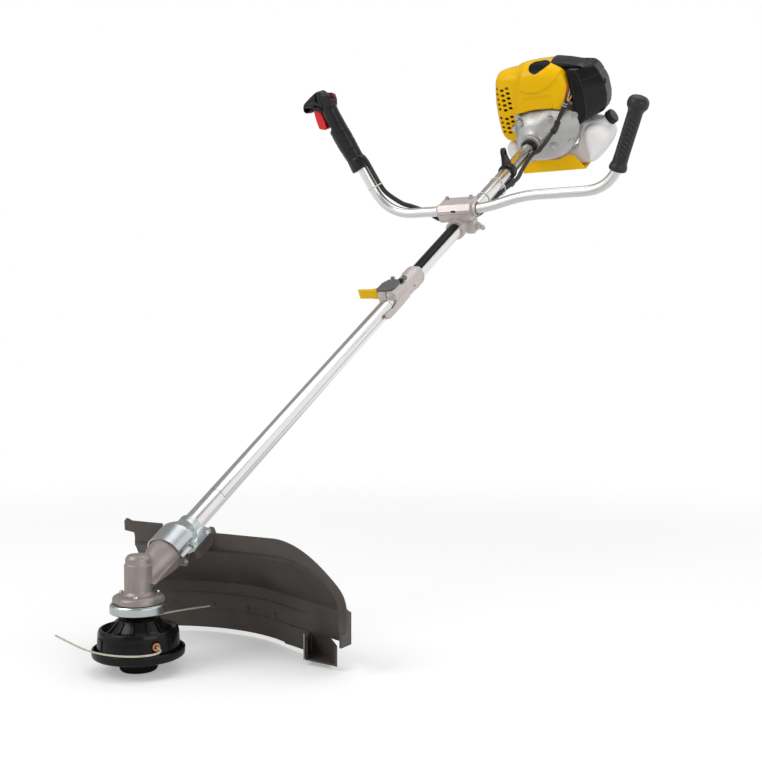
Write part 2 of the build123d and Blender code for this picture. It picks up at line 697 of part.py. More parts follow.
TRIGGER_PIVOT = (21.0, 247.0)
with BuildPart() as throttle_trigger:
    with BuildSketch(LEFT.face(12)):
        with BuildLine():
            Polyline((28, 252), (22, 253.4), (14.4, 246), (15, 232), (20, 209.5), (26, 208), (38, 217),
                     (34, 236), close=True)
        make_face()
        with Locations(TRIGGER_PIVOT):
            Circle(2.1, mode=Mode.SUBTRACT)
    extrude(amount=20)
save(throttle_trigger, "throttle_trigger")

with BuildPart() as stop_switch:
    with BuildSketch(LEFT.face(4)):
        with BuildLine():
            Polyline((-27, 255), (-15, 253.3), (-15, 262.6), (-27, 261), close=True)
        make_face()
    extrude(amount=8)
save(stop_switch, "stop_switch")

with BuildPart() as right_grip:
    outline = [(10, 37), (15.4, 37), (16.2, 40), (15.6, 46), (13.6, 50), (13.4, 90), (13.8, 120), (13, 150),
               (18, 153), (19.2, 158), (18.4, 168), (13, 174.4), (0, 175.6), (0, RIGHT_END + 0.1),
               (10, RIGHT_END + 0.1)]
    turned(outline, Plane(origin=RIGHT.corner, x_dir=RIGHT.outward, z_dir=BAR_OUT),
           Axis(RIGHT.corner, RIGHT.along))
save(right_grip, "right_grip")

LOOM_R = 5.0
BAR_LOOM = [LEFT.point(-15.6, 106, -3), LEFT.point(-15.6, 86, -3), LEFT.point(-15.8, 60, -4),
            LEFT.point(-19, 38, -6), bar_point(-126, 20, -8.6), bar_point(-106, 11, -12.2),
            bar_point(-86, 1, -16.2), bar_point(-68, -8.5, -15.6), bar_point(-55, -15.5, -12.6),
            bar_point(-43, -19.4, -11)]

with BuildPart() as bar_loom:
    round_cord(BAR_LOOM, LOOM_R)
save(bar_loom, "bar_loom")

# --------------------------------------------------------------------------
# Harness hanger and the loom along the shaft
# --------------------------------------------------------------------------
with BuildPart() as harness_hanger:
    turned_on_shaft([(1347, TUBE_R), (1347, 17.6), (1349, 18.6), (1365, 18.6), (1367, 17.6), (1367, TUBE_R)])
    with BuildSketch(flank(-4)):
        with BuildLine():
            Polyline((1341, 14), (1345, 25), (1349, 38), (1349, 47), (1353, 53), (1361, 53), (1365, 47),
                     (1365, 38), (1371, 25), (1378, 14), close=True)
        make_face()
        with Locations((1357, 43)):
            Circle(5, mode=Mode.SUBTRACT)
    extrude(amount=8)
    with BuildSketch(flank(-8)):
        with Locations((1357, -24)):
            RectangleRounded(18, 17, 3)
    extrude(amount=16)
    cut_round_shaft(1330, 1390, TUBE_R)
save(harness_hanger, "harness_hanger")

SHAFT_LOOM = [on_shaft(1104, -34.6, 5.6), on_shaft(1112, -32, 4), on_shaft(1128, -27, -2),
              on_shaft(1146, -20, -10),
              on_shaft(1168, -9, -18), on_shaft(1192, 0, -20), on_shaft(1232, 1, -20), on_shaft(1272, 3, -20),
              on_shaft(1306, 9, -18.4), on_shaft(1332, 17, -16.4), on_shaft(1357, 21, -15),
              on_shaft(1384, 19, -14.4), on_shaft(1424, 15.4, -15), on_shaft(1462, 14.8, -17),
              on_shaft(1486, 18, -22), on_shaft(1500, 23, -19), on_shaft(1512, 33, -6), on_shaft(1523, 43, 9),
              on_shaft(1537, 52, 25), on_shaft(1545, 64, 46), on_shaft(1548, 77, 67), on_shaft(1548, 86, 81)]

with BuildPart() as shaft_loom:
    round_cord(SHAFT_LOOM, LOOM_R)
save(shaft_loom, "shaft_loom")

with BuildPart() as cable_ties:
    for station, turn in ((1212, -88.5), (1290, -71.0)):
        with BuildSketch(across(station)):
            with Locations(Location((5.6 * cos(radians(turn)), 5.6 * sin(radians(turn)), 0), turn)):
                SlotCenterToCenter(11.2, 31)
                SlotCenterToCenter(11.2, 28.6, mode=Mode.SUBTRACT)
        extrude(amount=3)
save(cable_ties, "cable_ties")

for route_name, route in (("bar loom", BAR_LOOM), ("shaft loom", SHAFT_LOOM)):
    print(route_name, "smallest radius", round(min(arc_radii(route)), 1))

# --------------------------------------------------------------------------
# Engine
# --------------------------------------------------------------------------
def slab(points, start, end, mode=Mode.ADD):
    """Extrude an outline of (sideways, up) points across the shaft, from one station to another."""
    extrude(outlined(points, across(end)), amount=end - start, mode=mode)


def scaled(points, factor, centre):
    """Outline points drawn in toward a centre."""
    return [(centre[0] + (x - centre[0]) * factor, centre[1] + (y - centre[1]) * factor) for x, y in points]


def inset(points, depth):
    """Clockwise outline with its walls moved inward by a depth."""
    moved = []
    for before, here, after in zip(points[-1:] + points[:-1], points, points[1:] + points[:1]):
        arriving = (Vector(*here) - Vector(*before)).normalized()
        leaving = (Vector(*after) - Vector(*here)).normalized()
        inward = Vector(arriving.Y + leaving.Y, -arriving.X - leaving.X).normalized()
        reach = depth / inward.dot(Vector(arriving.Y, -arriving.X))
        moved.append((here[0] + inward.X * reach, here[1] + inward.Y * reach))
    return moved


FAN_START = 1556.0
FAN_END = 1590.0
BLOCK_START = 1592.0
BLOCK_END = 1646.0
REAR_START = 1660.0
REAR_END = 1691.0
CRANK_R = 8.0

CASE_OUTLINE = [(-46, 0), (-47, 36), (-40, 58), (6, 61), (60, 59), (90, 55), (97, 46), (98, 15), (86, -15),
                (66, -37), (48, -48), (24, -53), (0, -50)]
with BuildPart() as clutch_housing:
    turned_on_shaft([(NECK_START, TUBE_R), (NECK_START, 19), (NECK_START + 3, 20.5), (1516, 21), (1521, 26),
                     (1526, 36), (1531, 43.5), (1537, 47.6), (1546, BELL_R), (FAN_START, BELL_R + 2),
                     (FAN_START + 2, BELL_R + 2), (FAN_START + 2, TUBE_R)])
    pipe(across(FAN_END), FAN_R + 4.5, 20, FAN_END - FAN_START)
    slab(CASE_OUTLINE, FAN_START, FAN_END)
    with BuildSketch(across(FAN_START + 6)):
        with Locations((60, 42), (62, -24), (-32, 42)):
            Circle(7.5)
    extrude(amount=12)
    cut_round_shaft(NECK_START - 1, UPPER_TUBE_END + 0.4, TUBE_R)
    cut_round_shaft(UPPER_TUBE_END, 1532, 10)
    turned_on_shaft([(1531, 0), (1531, 41), (1538, 44.4), (FAN_START + 2.5, 46), (FAN_START + 3, FAN_R + 2),
                     (FAN_END + 1, FAN_R + 2), (FAN_END + 1, 0)], Mode.SUBTRACT)
save(clutch_housing, "clutch_housing")

with BuildPart() as neck_ring:
    turned_on_shaft([(1488, TUBE_R), (1488, 18.6), (1490, 21), (1494, 23), (1498, 23), (1499.9, 21.4),
                     (1499.9, TUBE_R)])
    turned_on_shaft([(1520, DRIVE_R + FIT), (1520, 10), (1530, 10), (1530, DRIVE_R + FIT)])
save(neck_ring, "neck_ring")

with BuildPart() as clutch_drum:
    turned_on_shaft([(1533.7, 0), (1533.7, DRUM_R), (1555, DRUM_R), (1555, DRUM_R - 2.2),
                     (1536.2, DRUM_R - 2.2), (1536.2, 0)])
save(clutch_drum, "clutch_drum")

with BuildPart() as crankshaft:
    turned_on_shaft([(1538, 0), (1538, CRANK_R - 1), (1539, CRANK_R), (1681, CRANK_R), (1681, 0)])
save(crankshaft, "crankshaft")

with BuildPart() as clutch_shoes:
    pipe(across(1553), DRUM_R - 3, CRANK_R, 12)
    with BuildSketch(across(1554)):
        with Locations((0, 26), (0, -26)):
            Rectangle(7, 24)
    extrude(amount=14, mode=Mode.SUBTRACT)
    with BuildSketch(across(1554)):
        Circle(30)
        Circle(17, mode=Mode.SUBTRACT)
        Rectangle(24, 70, mode=Mode.SUBTRACT)
    extrude(amount=5, mode=Mode.SUBTRACT)
save(clutch_shoes, "clutch_shoes")

FAN_BLADES = 18
with BuildPart() as flywheel_fan:
    pipe(across(1588), 19, CRANK_R, 26)
    pipe(across(1585), FAN_R - 1, 18, 4)
    for blade in range(FAN_BLADES):
        turn = blade * 360 / FAN_BLADES
        with BuildSketch(across(1581.5)):
            with Locations(Location((34.5 * cos(radians(turn)), 34.5 * sin(radians(turn)), 0), turn + 14)):
                Rectangle(25, 2.4)
        extrude(amount=17)
save(flywheel_fan, "flywheel_fan")

with BuildPart() as engine_block:
    slab([(-36, -40), (-36, 30), (-26, 44), (26, 44), (36, 30), (36, -40), (26, -46), (-26, -46)],
         BLOCK_START, BLOCK_END)
    with BuildSketch(above(40)):
        with Locations((0, 1619)):
            Circle(25)
    extrude(amount=94)
    for number in range(10):
        with BuildSketch(above(48 + number * 9)):
            with Locations((0, 1619)):
                RectangleRounded(74, 52, 12)
        extrude(amount=3.2)
    cut_round_shaft(BLOCK_START - 1, BLOCK_END + 1, CRANK_R + GAP)
save(engine_block, "engine_block")

with BuildPart() as spark_plug:
    rod(Plane(origin=on_shaft(1619, 8, 134.1), x_dir=SIDE, z_dir=RISE), 5, 10)
    rod(Plane(origin=on_shaft(1619, 8, 142), x_dir=SIDE, z_dir=RISE), 9, 17)
save(spark_plug, "spark_plug")

with BuildPart() as muffler:
    slab([(-80, 24), (-83, 34), (-81, 86), (-71, 99), (-50, 101), (-42, 95), (-42, 30), (-50, 22)],
         1596, 1644)
    with BuildSketch(flank(-42.2)):
        with Locations((1620, 70)):
            RectangleRounded(30, 20, 4)
    extrude(amount=4.6)
    with BuildSketch(flank(-83)):
        with Locations((1628, 50)):
            Circle(6)
    extrude(amount=12, mode=Mode.SUBTRACT)
save(muffler, "muffler")

COVER_OUTLINE = [(-89, -2), (-91, 15), (-90, 51), (-86, 88), (-80, 112), (-71, 138), (-62, 151), (-54, 155),
                 (-34, 156), (-18, 161), (-7, 167), (10, 169), (38, 169), (48, 164), (54, 157), (80, 149), (90, 128),
                 (93.6, 108), (88, 92), (80, 78), (68, 60), (-45, 60), (-45, -2)]
COVER_OPEN = [(-86.5, -12), (-87, 15), (-86, 50), (-40, 90), (60, 90), (66, 62), (64, 44), (-30, 44), (-30, -12)]
COVER_CENTRE = (0, 70)
COVER_SECTIONS = [(0.86, 1534), (0.93, 1540), (0.975, 1550), (1.0, 1566), (1.0, 1612), (0.985, 1640),
                  (0.95, 1655)]
VENT_GROUPS = [(-74, 77, 5), (-75, 22, 4)]      # sideways, lowest, number of rows
with BuildPart() as top_cover:
    loft([outlined(scaled(COVER_OUTLINE, factor, COVER_CENTRE), across(station))
          for factor, station in COVER_SECTIONS], ruled=True)
    hollow = [(inset(scaled(COVER_OUTLINE, factor, COVER_CENTRE), 2.6), station + (2.8 if factor < 1 else 1))
              for factor, station in COVER_SECTIONS]
    loft([outlined(points, across(station)) for points, station in hollow], ruled=True, mode=Mode.SUBTRACT)
    slab([(x * 0.9, y) for x, y in COVER_OPEN], 1537, 1552, Mode.SUBTRACT)
    slab(COVER_OPEN, 1552, 1600, Mode.SUBTRACT)
    slab([(x * 0.96, y) for x, y in COVER_OPEN], 1600, 1658, Mode.SUBTRACT)
    turned_on_shaft([(1520, 0), (1520, 58), (1557, 58), (1557, 0)], Mode.SUBTRACT)
    slab([(-55, -70), (-55, 62), (110, 62), (110, -70)], FAN_START - 1, FAN_END + 2, Mode.SUBTRACT)
    slab([(60, 50), (60, 116), (100, 116), (100, 50)], 1592, 1658, Mode.SUBTRACT)
    for group_x, group_up, rows in VENT_GROUPS:
        for row in range(rows):
            for column in range(3):
                vent = (group_x + column * 12, group_up + row * 11.4 - (column % 2) * 3.6)
                with BuildSketch(across(1564, *vent)):
                    Ellipse(4.4, 3.2)
                extrude(amount=34, mode=Mode.SUBTRACT)
save(top_cover, "top_cover")

AIR_OUTLINE = [(97, 75), (101, 105), (95, 132), (88, 152), (120, 158), (146, 153), (155, 130), (160, 105),
               (161, 62), (157, 44), (148, 33), (126, 25), (104, 19), (99, 48)]
AIR_DUCT = [(54, 161), (56, 171), (100, 170), (128, 163), (136, 154), (90, 151), (85, 155)]
with BuildPart() as air_cleaner_cover:
    loft([outlined(scaled(AIR_OUTLINE, 0.94, (142, 80)), across(FAN_START)),
          outlined(AIR_OUTLINE, across(FAN_START + 8)), outlined(AIR_OUTLINE, across(1640))], ruled=True)
    slab(inset(AIR_OUTLINE, 2.6), FAN_START + 6, 1637.4, Mode.SUBTRACT)
    slab(AIR_DUCT, 1582, 1628)
    slab([(90, 52), (90, 116), (104, 116), (104, 52)], 1594, 1637.4, Mode.SUBTRACT)
    with BuildSketch(flank(150)):
        with Locations((1604, 96)):
            Circle(8)
    extrude(amount=30, mode=Mode.SUBTRACT)
save(air_cleaner_cover, "air_cleaner_cover")

with BuildPart() as carburettor:
    slab([(37.2, 66), (37.2, 98), (60, 103), (82, 98), (82, 66), (60, 62)], 1602, 1632)
    with BuildSketch(flank(82)):
        with Locations((1616, 84)):
            Circle(19)
    extrude(amount=24)
    with BuildSketch(flank(106)):
        with Locations((1612, 84)):
            RectangleRounded(44, 52, 8)
    extrude(amount=24)
save(carburettor, "carburettor")

CHOKE_X = 132.0
CHOKE_UP = 62.0
with BuildPart() as choke_lever:
    hub = across(1644.2, CHOKE_X, CHOKE_UP)
    rod(hub, 7, 3.8)
    with BuildSketch(hub):
        with BuildLine():
            Polyline((-4, 5), (-28, 9), (-31, 7), (-31, -1), (-28, -3), (-4, -5), close=True)
        make_face()
    extrude(amount=3.8)
    rod(across(1652, CHOKE_X - 27, CHOKE_UP + 3), 3.4, 8)
save(choke_lever, "choke_lever")

TANK_OUTLINE = [(-85, -57), (-93, -42), (-93, -25), (-84, -12), (-62, -12), (-50, -54), (44, -54), (74, -44),
                (96, -10), (106, 6), (128, 12), (140, 8), (154, -9), (162, -12), (163, -17), (152, -32), (137, -53),
                (119, -73), (98, -83), (-64, -83)]
TANK_START = 1592.0
TANK_END = 1642.0
CAP_TILT = 60.0
CAP_R = 16.5
cap_axis = SIDE * sin(radians(CAP_TILT)) + RISE * cos(radians(CAP_TILT))
cap_seat = Plane(origin=on_shaft(1612, 151, 9), x_dir=AXIS, z_dir=cap_axis)
with BuildPart() as fuel_tank:
    slab(TANK_OUTLINE, TANK_START, TANK_END)
    slab([(110, -10), (112, 5), (128, 10), (140, 6), (152, -8), (161, -16), (151, -30), (136, -53), (119, -71),
          (108, -76)], 1564, TANK_START + 1)
    slab([(-84, -54), (-91, -42), (-91, -26), (-83, -14), (-64, -14), (-62, -54)], 1577, TANK_START + 1)
    rod(cap_seat.offset(-9), 13, 19)
    slab(inset(TANK_OUTLINE, BODY_WALL), TANK_START + 3, TANK_END - 3, Mode.SUBTRACT)
    rod(cap_seat.offset(-14), 10, 30, Mode.SUBTRACT)
save(fuel_tank, "fuel_tank")

with BuildPart() as cap_gasket:
    pipe(cap_seat.offset(10.3), 12.9, 10, 1.6)
save(cap_gasket, "cap_gasket")

with BuildPart() as fuel_cap:
    rod(cap_seat.offset(3), CAP_R, 14)
    rod(cap_seat.offset(1), 13 + GAP, 11.1, Mode.SUBTRACT)
    with BuildSketch(cap_seat.offset(4)):
        with PolarLocations(CAP_R + 0.9, 12):
            Circle(2.2)
    extrude(amount=14, mode=Mode.SUBTRACT)
save(fuel_cap, "fuel_cap")

with BuildPart() as tank_guard:
    slab([(-50, -69), (-21, -57), (35, -59), (62, -50), (72, -52), (96, -87), (-57, -87)], 1568, 1571)
    slab([(-57, -84.4), (96, -84.4), (96, -87), (-57, -87)], 1570, 1638)
save(tank_guard, "tank_guard")

with BuildPart() as recoil_housing:
    turned_on_shaft([(REAR_START, 58), (REAR_START, 62), (1683, 60), (REAR_END, 52), (REAR_END, 0),
                     (1688.4, 0), (1688.4, 50), (1681, 57), (1663, 58)])
    with BuildSketch(across(REAR_START + 4)):
        with Locations((-28, 34), (28, 34), (28, -34), (-28, -34)):
            Circle(6)
    extrude(amount=REAR_START + 4 - BLOCK_END)
    with BuildSketch(Plane(origin=on_shaft(1672, -32, 40), x_dir=AXIS, z_dir=RISE)):
        Circle(6.3)
    extrude(amount=40, mode=Mode.SUBTRACT)
    turned_on_shaft([(1682, 0), (1682, 5), (1689, 5), (1689, 0)])
save(recoil_housing, "recoil_housing")

PULLEY_R = 28.0
with BuildPart() as starter_pulley:
    turned_on_shaft([(1665, CRANK_R + GAP), (1665, PULLEY_R + 4), (1667, PULLEY_R + 4), (1668.5, PULLEY_R),
                     (1675.5, PULLEY_R), (1677, PULLEY_R + 4), (1679, PULLEY_R + 4), (1679, CRANK_R + GAP)])
save(starter_pulley, "starter_pulley")

with BuildPart() as starter_handle:
    grip_plane = Plane(origin=on_shaft(1672, -32, 62), x_dir=AXIS, z_dir=RISE)
    rod(grip_plane.offset(-8), 6, 8)
    with BuildSketch(grip_plane):
        SlotOverall(38, 14)
    extrude(amount=13)
save(starter_handle, "starter_handle")
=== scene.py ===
"""Looks of a petrol brush cutter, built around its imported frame."""

from __future__ import annotations

import json
import logging
import math
from collections.abc import Sequence
from dataclasses import dataclass
from enum import Enum

import bmesh
import bpy
import numpy as np
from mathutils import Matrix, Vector

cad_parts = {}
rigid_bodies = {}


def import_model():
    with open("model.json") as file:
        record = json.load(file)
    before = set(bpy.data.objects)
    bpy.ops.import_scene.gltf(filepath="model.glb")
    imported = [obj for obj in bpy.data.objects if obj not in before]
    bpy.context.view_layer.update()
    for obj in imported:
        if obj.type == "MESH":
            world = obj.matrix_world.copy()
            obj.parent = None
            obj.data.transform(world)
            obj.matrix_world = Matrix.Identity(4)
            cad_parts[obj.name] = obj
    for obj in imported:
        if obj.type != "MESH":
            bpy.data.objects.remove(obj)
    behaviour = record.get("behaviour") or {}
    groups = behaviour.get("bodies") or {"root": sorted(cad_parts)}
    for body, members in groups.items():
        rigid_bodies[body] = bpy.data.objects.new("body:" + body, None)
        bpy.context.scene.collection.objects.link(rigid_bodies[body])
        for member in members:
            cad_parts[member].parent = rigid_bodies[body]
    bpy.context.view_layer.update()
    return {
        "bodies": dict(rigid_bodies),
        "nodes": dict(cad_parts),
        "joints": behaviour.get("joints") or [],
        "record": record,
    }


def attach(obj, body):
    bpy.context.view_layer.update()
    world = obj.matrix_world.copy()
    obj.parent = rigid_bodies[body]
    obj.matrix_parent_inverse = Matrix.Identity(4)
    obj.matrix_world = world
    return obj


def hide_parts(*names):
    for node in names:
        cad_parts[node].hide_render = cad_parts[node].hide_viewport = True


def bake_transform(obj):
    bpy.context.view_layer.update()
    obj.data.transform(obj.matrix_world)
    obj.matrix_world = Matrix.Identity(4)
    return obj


LOG = logging.getLogger("brush_cutter")
MM = 0.001
TURN = 2.0 * math.pi
Colour = tuple[float, float, float]
Points = np.ndarray


# --------------------------------------------------------------------------
# Frames that the pieces are measured in
# --------------------------------------------------------------------------
@dataclass(frozen=True)
class Axes:
    """Three directions from an origin; coordinates in millimetres become places in metres."""

    origin: tuple[float, float, float]
    first: tuple[float, float, float]
    second: tuple[float, float, float]
    third: tuple[float, float, float]

    def place(self, a: object, b: object, c: object) -> Points:
        """Origin plus each coordinate times its direction.

        Args:
            a: distance along the first direction, a number or an array.
            b: distance along the second direction.
            c: distance along the third direction.

        Returns:
            Places in metres, with one more axis than the broadcast coordinates.
        """
        a, b, c = np.broadcast_arrays(np.asarray(a, float), b, c)
        steps = [np.multiply.outer(k, np.array(d)) for k, d in ((a, self.first), (b, self.second), (c, self.third))]
        return np.array(self.origin) + MM * sum(steps)

    def moved(self, a: float, b: float, c: float) -> Axes:
        """The same directions from another origin, given in this frame's millimetres."""
        return Axes(tuple(self.place(a, b, c)), self.first, self.second, self.third)


def leaning(degrees: float) -> tuple[float, float]:
    """Cosine and sine of an angle in degrees."""
    return math.cos(math.radians(degrees)), math.sin(math.radians(degrees))


COS_TILT, SIN_TILT = leaning(30.0)
COS_BAR, SIN_BAR = leaning(20.0)
GROUND = Axes((0.0, 0.0, 0.0), (1, 0, 0), (0, 1, 0), (0, 0, 1))
SHAFT = Axes((0.0, 0.0, 0.109), (1, 0, 0), (0, -SIN_TILT, COS_TILT), (0, COS_TILT, SIN_TILT))
BAR = Axes(tuple(SHAFT.place(0, 29, 1092)), (1, 0, 0), (0, -SIN_BAR, COS_BAR), (0, -COS_BAR, -SIN_BAR))


def grip_axes(corner: float, height: float, lean: float, hand: int) -> Axes:
    """Axes of a grip: outward from the machine, along the grip from its corner, and to the front.

    Args:
        corner: sideways place of the bar's corner.
        height: place of the corner up the bar's plane.
        lean: outward lean of the grip, in degrees.
        hand: 1 on the image's right, -1 on its left.
    """
    c, s = leaning(lean)
    side, up = np.array(BAR.first), np.array(BAR.second)
    outward, along = side * hand * c - up * s, side * hand * s + up * c
    return Axes(tuple(BAR.place(corner, height, 0)), tuple(outward), tuple(along), BAR.third)


THROTTLE = grip_axes(-157.0, 0.0, 22.6, -1)
RIGHT = grip_axes(312.0, 19.5, 23.5, 1)


# --------------------------------------------------------------------------
# Outlines and surfaces
# --------------------------------------------------------------------------
def rounded(corners: Sequence[Sequence[float]], reach: float, steps: int = 6, closed: bool = True) -> Points:
    """Outline whose corners are quadratic arcs: (1-t)^2 A + 2t(1-t) P + t^2 B around each corner P.

    Args:
        corners: corner points in a plane.
        reach: distance from the corner at which its arc starts and ends, at most 0.45 of a run.
        steps: points on each arc.
        closed: whether the last corner joins the first.

    Returns:
        An array of points, one row each.
    """
    p = np.asarray(corners, float)
    back, on = np.roll(p, 1, 0) - p, np.roll(p, -1, 0) - p
    lengths = [np.maximum(np.linalg.norm(v, axis=1, keepdims=True), 1e-9) for v in (back, on)]
    a, b = (p + v * np.minimum(reach / n, 0.45) for v, n in zip((back, on), lengths))
    t = np.linspace(0, 1, steps)[None, :, None]
    arcs = (1 - t) ** 2 * a[:, None] + 2 * t * (1 - t) * p[:, None] + t**2 * b[:, None]
    if closed:
        return arcs.reshape(-1, p.shape[1])
    return np.vstack([p[:1], arcs[1:-1].reshape(-1, p.shape[1]), p[-1:]])


def resampled(points: Points, count: int, closed: bool = False) -> Points:
    """Points spaced evenly by length along a line.

    Args:
        points: rows of any dimension.
        count: how many points to return.
        closed: whether the line returns to its start, which is then not repeated.
    """
    line = np.vstack([points, points[:1]]) if closed else np.asarray(points, float)
    reach = np.concatenate([[0], np.cumsum(np.linalg.norm(np.diff(line, axis=0), axis=1))])
    at = np.linspace(0, reach[-1], count + 1)[:-1] if closed else np.linspace(0, reach[-1], count)
    return np.stack([np.interp(at, reach, line[:, k]) for k in range(line.shape[1])], axis=1)


def resampled_rows(rows: Points, count: int) -> Points:
    """Every closed row of a grid, with its points spread evenly."""
    return np.array([resampled(row + 1e-9, count, True) if np.ptp(row) > 1e-6 else np.repeat(row[:1], count, 0)
                     for row in rows])


def middle_pull(outline: Points, across: float, along: float) -> Points:
    """A closed outline drawn toward its middle by its own distance in each direction."""
    middle = (outline.min(0) + outline.max(0)) / 2
    half = np.ptp(outline, axis=0) / 2
    return middle + (outline - middle) * (1 - np.array([across, along]) / half)


def smooth_step(value: object, low: float, high: float) -> Points:
    """Rises from 0 at low to 1 at high as 3t^2 - 2t^3."""
    t = np.clip((np.asarray(value, float) - low) / (high - low), 0, 1)
    return t * t * (3 - 2 * t)


def bump(value: object, middle: float, width: float) -> Points:
    """A bell: exp(-((value - middle) / width)^2)."""
    return np.exp(-(((np.asarray(value, float) - middle) / width) ** 2))


def mesh_object(name: str, vertices: Points, faces: list) -> bpy.types.Object:
    """An object whose mesh has these vertices and faces, with its place in the mesh."""
    mesh = bpy.data.meshes.new(name)
    mesh.from_pydata(vertices.reshape(-1, 3).tolist(), [], faces)
    piece = bpy.data.objects.new(name, mesh)
    bpy.context.scene.collection.objects.link(piece)
    return piece


def tidy_mesh(piece: bpy.types.Object, sharp: float = 35.0, outward: bool = True) -> bpy.types.Object:
    """Merges doubles, turns faces outward, shades smooth and keeps edges past an angle sharp.

    Args:
        piece: the object to finish.
        sharp: angle between faces, in degrees, past which an edge stays sharp.
        outward: whether to recalculate the normals.
    """
    shape = bmesh.new()
    shape.from_mesh(piece.data)
    bmesh.ops.remove_doubles(shape, verts=shape.verts, dist=2e-6)
    loose = [v for v in shape.verts if not v.link_faces]
    bmesh.ops.delete(shape, geom=loose, context="VERTS")
    if outward:
        bmesh.ops.recalc_face_normals(shape, faces=shape.faces)
    shape.to_mesh(piece.data)
    shape.free()
    piece.data.polygons.foreach_set("use_smooth", np.ones(len(piece.data.polygons), bool))
    piece.data.set_sharp_from_angle(angle=math.radians(sharp))
    return piece


def surface(name: str, grid: Points, wrap_u: bool = False, wrap_v: bool = False, capped: bool = False,
            sharp: float = 35.0) -> bpy.types.Object:
    """Quads over a grid of points: each joins (i, j), (i+1, j), (i+1, j+1), (i, j+1).

    Args:
        name: the piece's name.
        grid: points in metres, of shape (rows, columns, 3).
        wrap_u: whether the last row joins the first.
        wrap_v: whether the last column joins the first.
        capped: whether the first and last rows are closed by a face each.
        sharp: angle in degrees past which an edge stays sharp.

    Returns:
        The finished object, with a UV map of the two parameters in metres.
    """
    rows, columns = grid.shape[:2]
    i, j = np.meshgrid(np.arange(rows if wrap_u else rows - 1), np.arange(columns if wrap_v else columns - 1),
                       indexing="ij")
    after_i, after_j = (i + 1) % rows, (j + 1) % columns
    quads = np.stack([i * columns + j, after_i * columns + j, after_i * columns + after_j, i * columns + after_j], -1)
    faces = quads.reshape(-1, 4).tolist()
    if capped:
        faces += [list(range(columns)), list(range((rows - 1) * columns, rows * columns))]
    piece = mesh_object(name, grid, faces)
    add_uv(piece, grid, quads.reshape(-1, 4), wrap_u, wrap_v)
    return tidy_mesh(piece, sharp)


def add_uv(piece: bpy.types.Object, grid: Points, quads: Points, wrap_u: bool, wrap_v: bool) -> None:
    """UV map in metres: u is the mean distance across the rows, v the mean distance along the columns."""
    across = np.concatenate([[0], np.cumsum(np.linalg.norm(np.diff(grid, axis=0), axis=2).mean(1))])
    along = np.concatenate([[0], np.cumsum(np.linalg.norm(np.diff(grid, axis=1), axis=2).mean(0))])
    rows, columns = grid.shape[:2]
    uv = np.zeros((len(piece.data.loops), 2))
    at_row, at_column = quads // columns, quads % columns
    u, v = across[at_row], along[at_column]
    if wrap_u:
        u = np.where((at_row == 0) & (at_row.max(1, keepdims=True) == rows - 1), across[-1] + across[1], u)
    if wrap_v:
        v = np.where((at_column == 0) & (at_column.max(1, keepdims=True) == columns - 1), along[-1] + along[1], v)
    uv[: quads.size] = np.stack([u, v], -1).reshape(-1, 2)
    piece.data.uv_layers.new(name="Surface").data.foreach_set("uv", uv.ravel())


def turned(name: str, outline: Sequence[Sequence[float]], axes: Axes = GROUND, reach: float = 0.8, count: int = 96,
           closed: bool = True, wave: float = 0.0, waves: int = 0) -> bpy.types.Object:
    """A lathe shape: x = r cos a, y = r sin a, with r from a rounded outline and a wave around it.

    Args:
        name: the piece's name.
        outline: (radius, height) corners in millimetres.
        axes: the frame whose third direction is the lathe's axis.
        reach: how far each corner is rounded.
        count: points around the axis.
        closed: whether the outline closes on itself.
        wave: depth of the flutes in millimetres.
        waves: number of flutes.
    """
    profile = rounded(outline, reach, 5, closed)
    around = np.linspace(0, TURN, count, endpoint=False)
    radius = np.maximum(profile[:, :1] - wave * (0.5 - 0.5 * np.cos(waves * around)) ** 3, 0)
    grid = axes.place(radius * np.cos(around), radius * np.sin(around), profile[:, 1:] + 0 * around)
    return surface(name, grid, wrap_u=closed, wrap_v=True)


def lofted(name: str, sections: Points, axes: Axes = SHAFT, capped: bool = True, sharp: float = 35.0
           ) -> bpy.types.Object:
    """A skin over closed sections of (side, rise, station) points, row by row."""
    grid = axes.place(sections[..., 0], sections[..., 1], sections[..., 2])
    return surface(name, grid, wrap_v=True, capped=capped, sharp=sharp)


def drawn(name: str, outline: Points, axes: Axes, start: float, end: float, edge: float = 1.0, steps: int = 4
          ) -> bpy.types.Object:
    """A plate or block: an outline moved inward by e(1 - sin a) while it goes in by e(1 - cos a) at both ends.

    Args:
        name: the piece's name.
        outline: closed outline, in the first two directions of the axes.
        axes: the frame; the outline is carried along the third direction.
        start: where the outline starts along the third direction.
        end: where it ends.
        edge: radius of the rounded edges.
        steps: points on each rounded edge.
    """
    corner = np.linspace(0, math.pi / 2, steps)
    depth = np.concatenate([edge * (1 - np.sin(corner)), edge * (1 - np.sin(corner[::-1]))])
    level = np.concatenate([start + edge * (1 - np.cos(corner)), end - edge * (1 - np.cos(corner[::-1]))])
    rows = [np.column_stack([shrunk(outline, d), np.full(len(outline), z)]) for d, z in zip(depth, level)]
    return lofted(name, np.array(rows), axes)


def shrunk(outline: Points, depth: object) -> Points:
    """Closed outline moved inward along the mean normal of the runs that meet at each point."""
    p = np.asarray(outline, float)
    runs = np.roll(p, -1, 0) - np.roll(p, 1, 0)
    normal = np.column_stack([-runs[:, 1], runs[:, 0]]) / np.maximum(np.linalg.norm(runs, axis=1), 1e-9)[:, None]
    x, y = p[:, 0], p[:, 1]
    clockwise = np.sum(x * np.roll(y, -1) - np.roll(x, -1) * y) < 0
    reach = np.broadcast_to(depth, len(p))[:, None]
    return p + normal * (-reach if clockwise else reach)


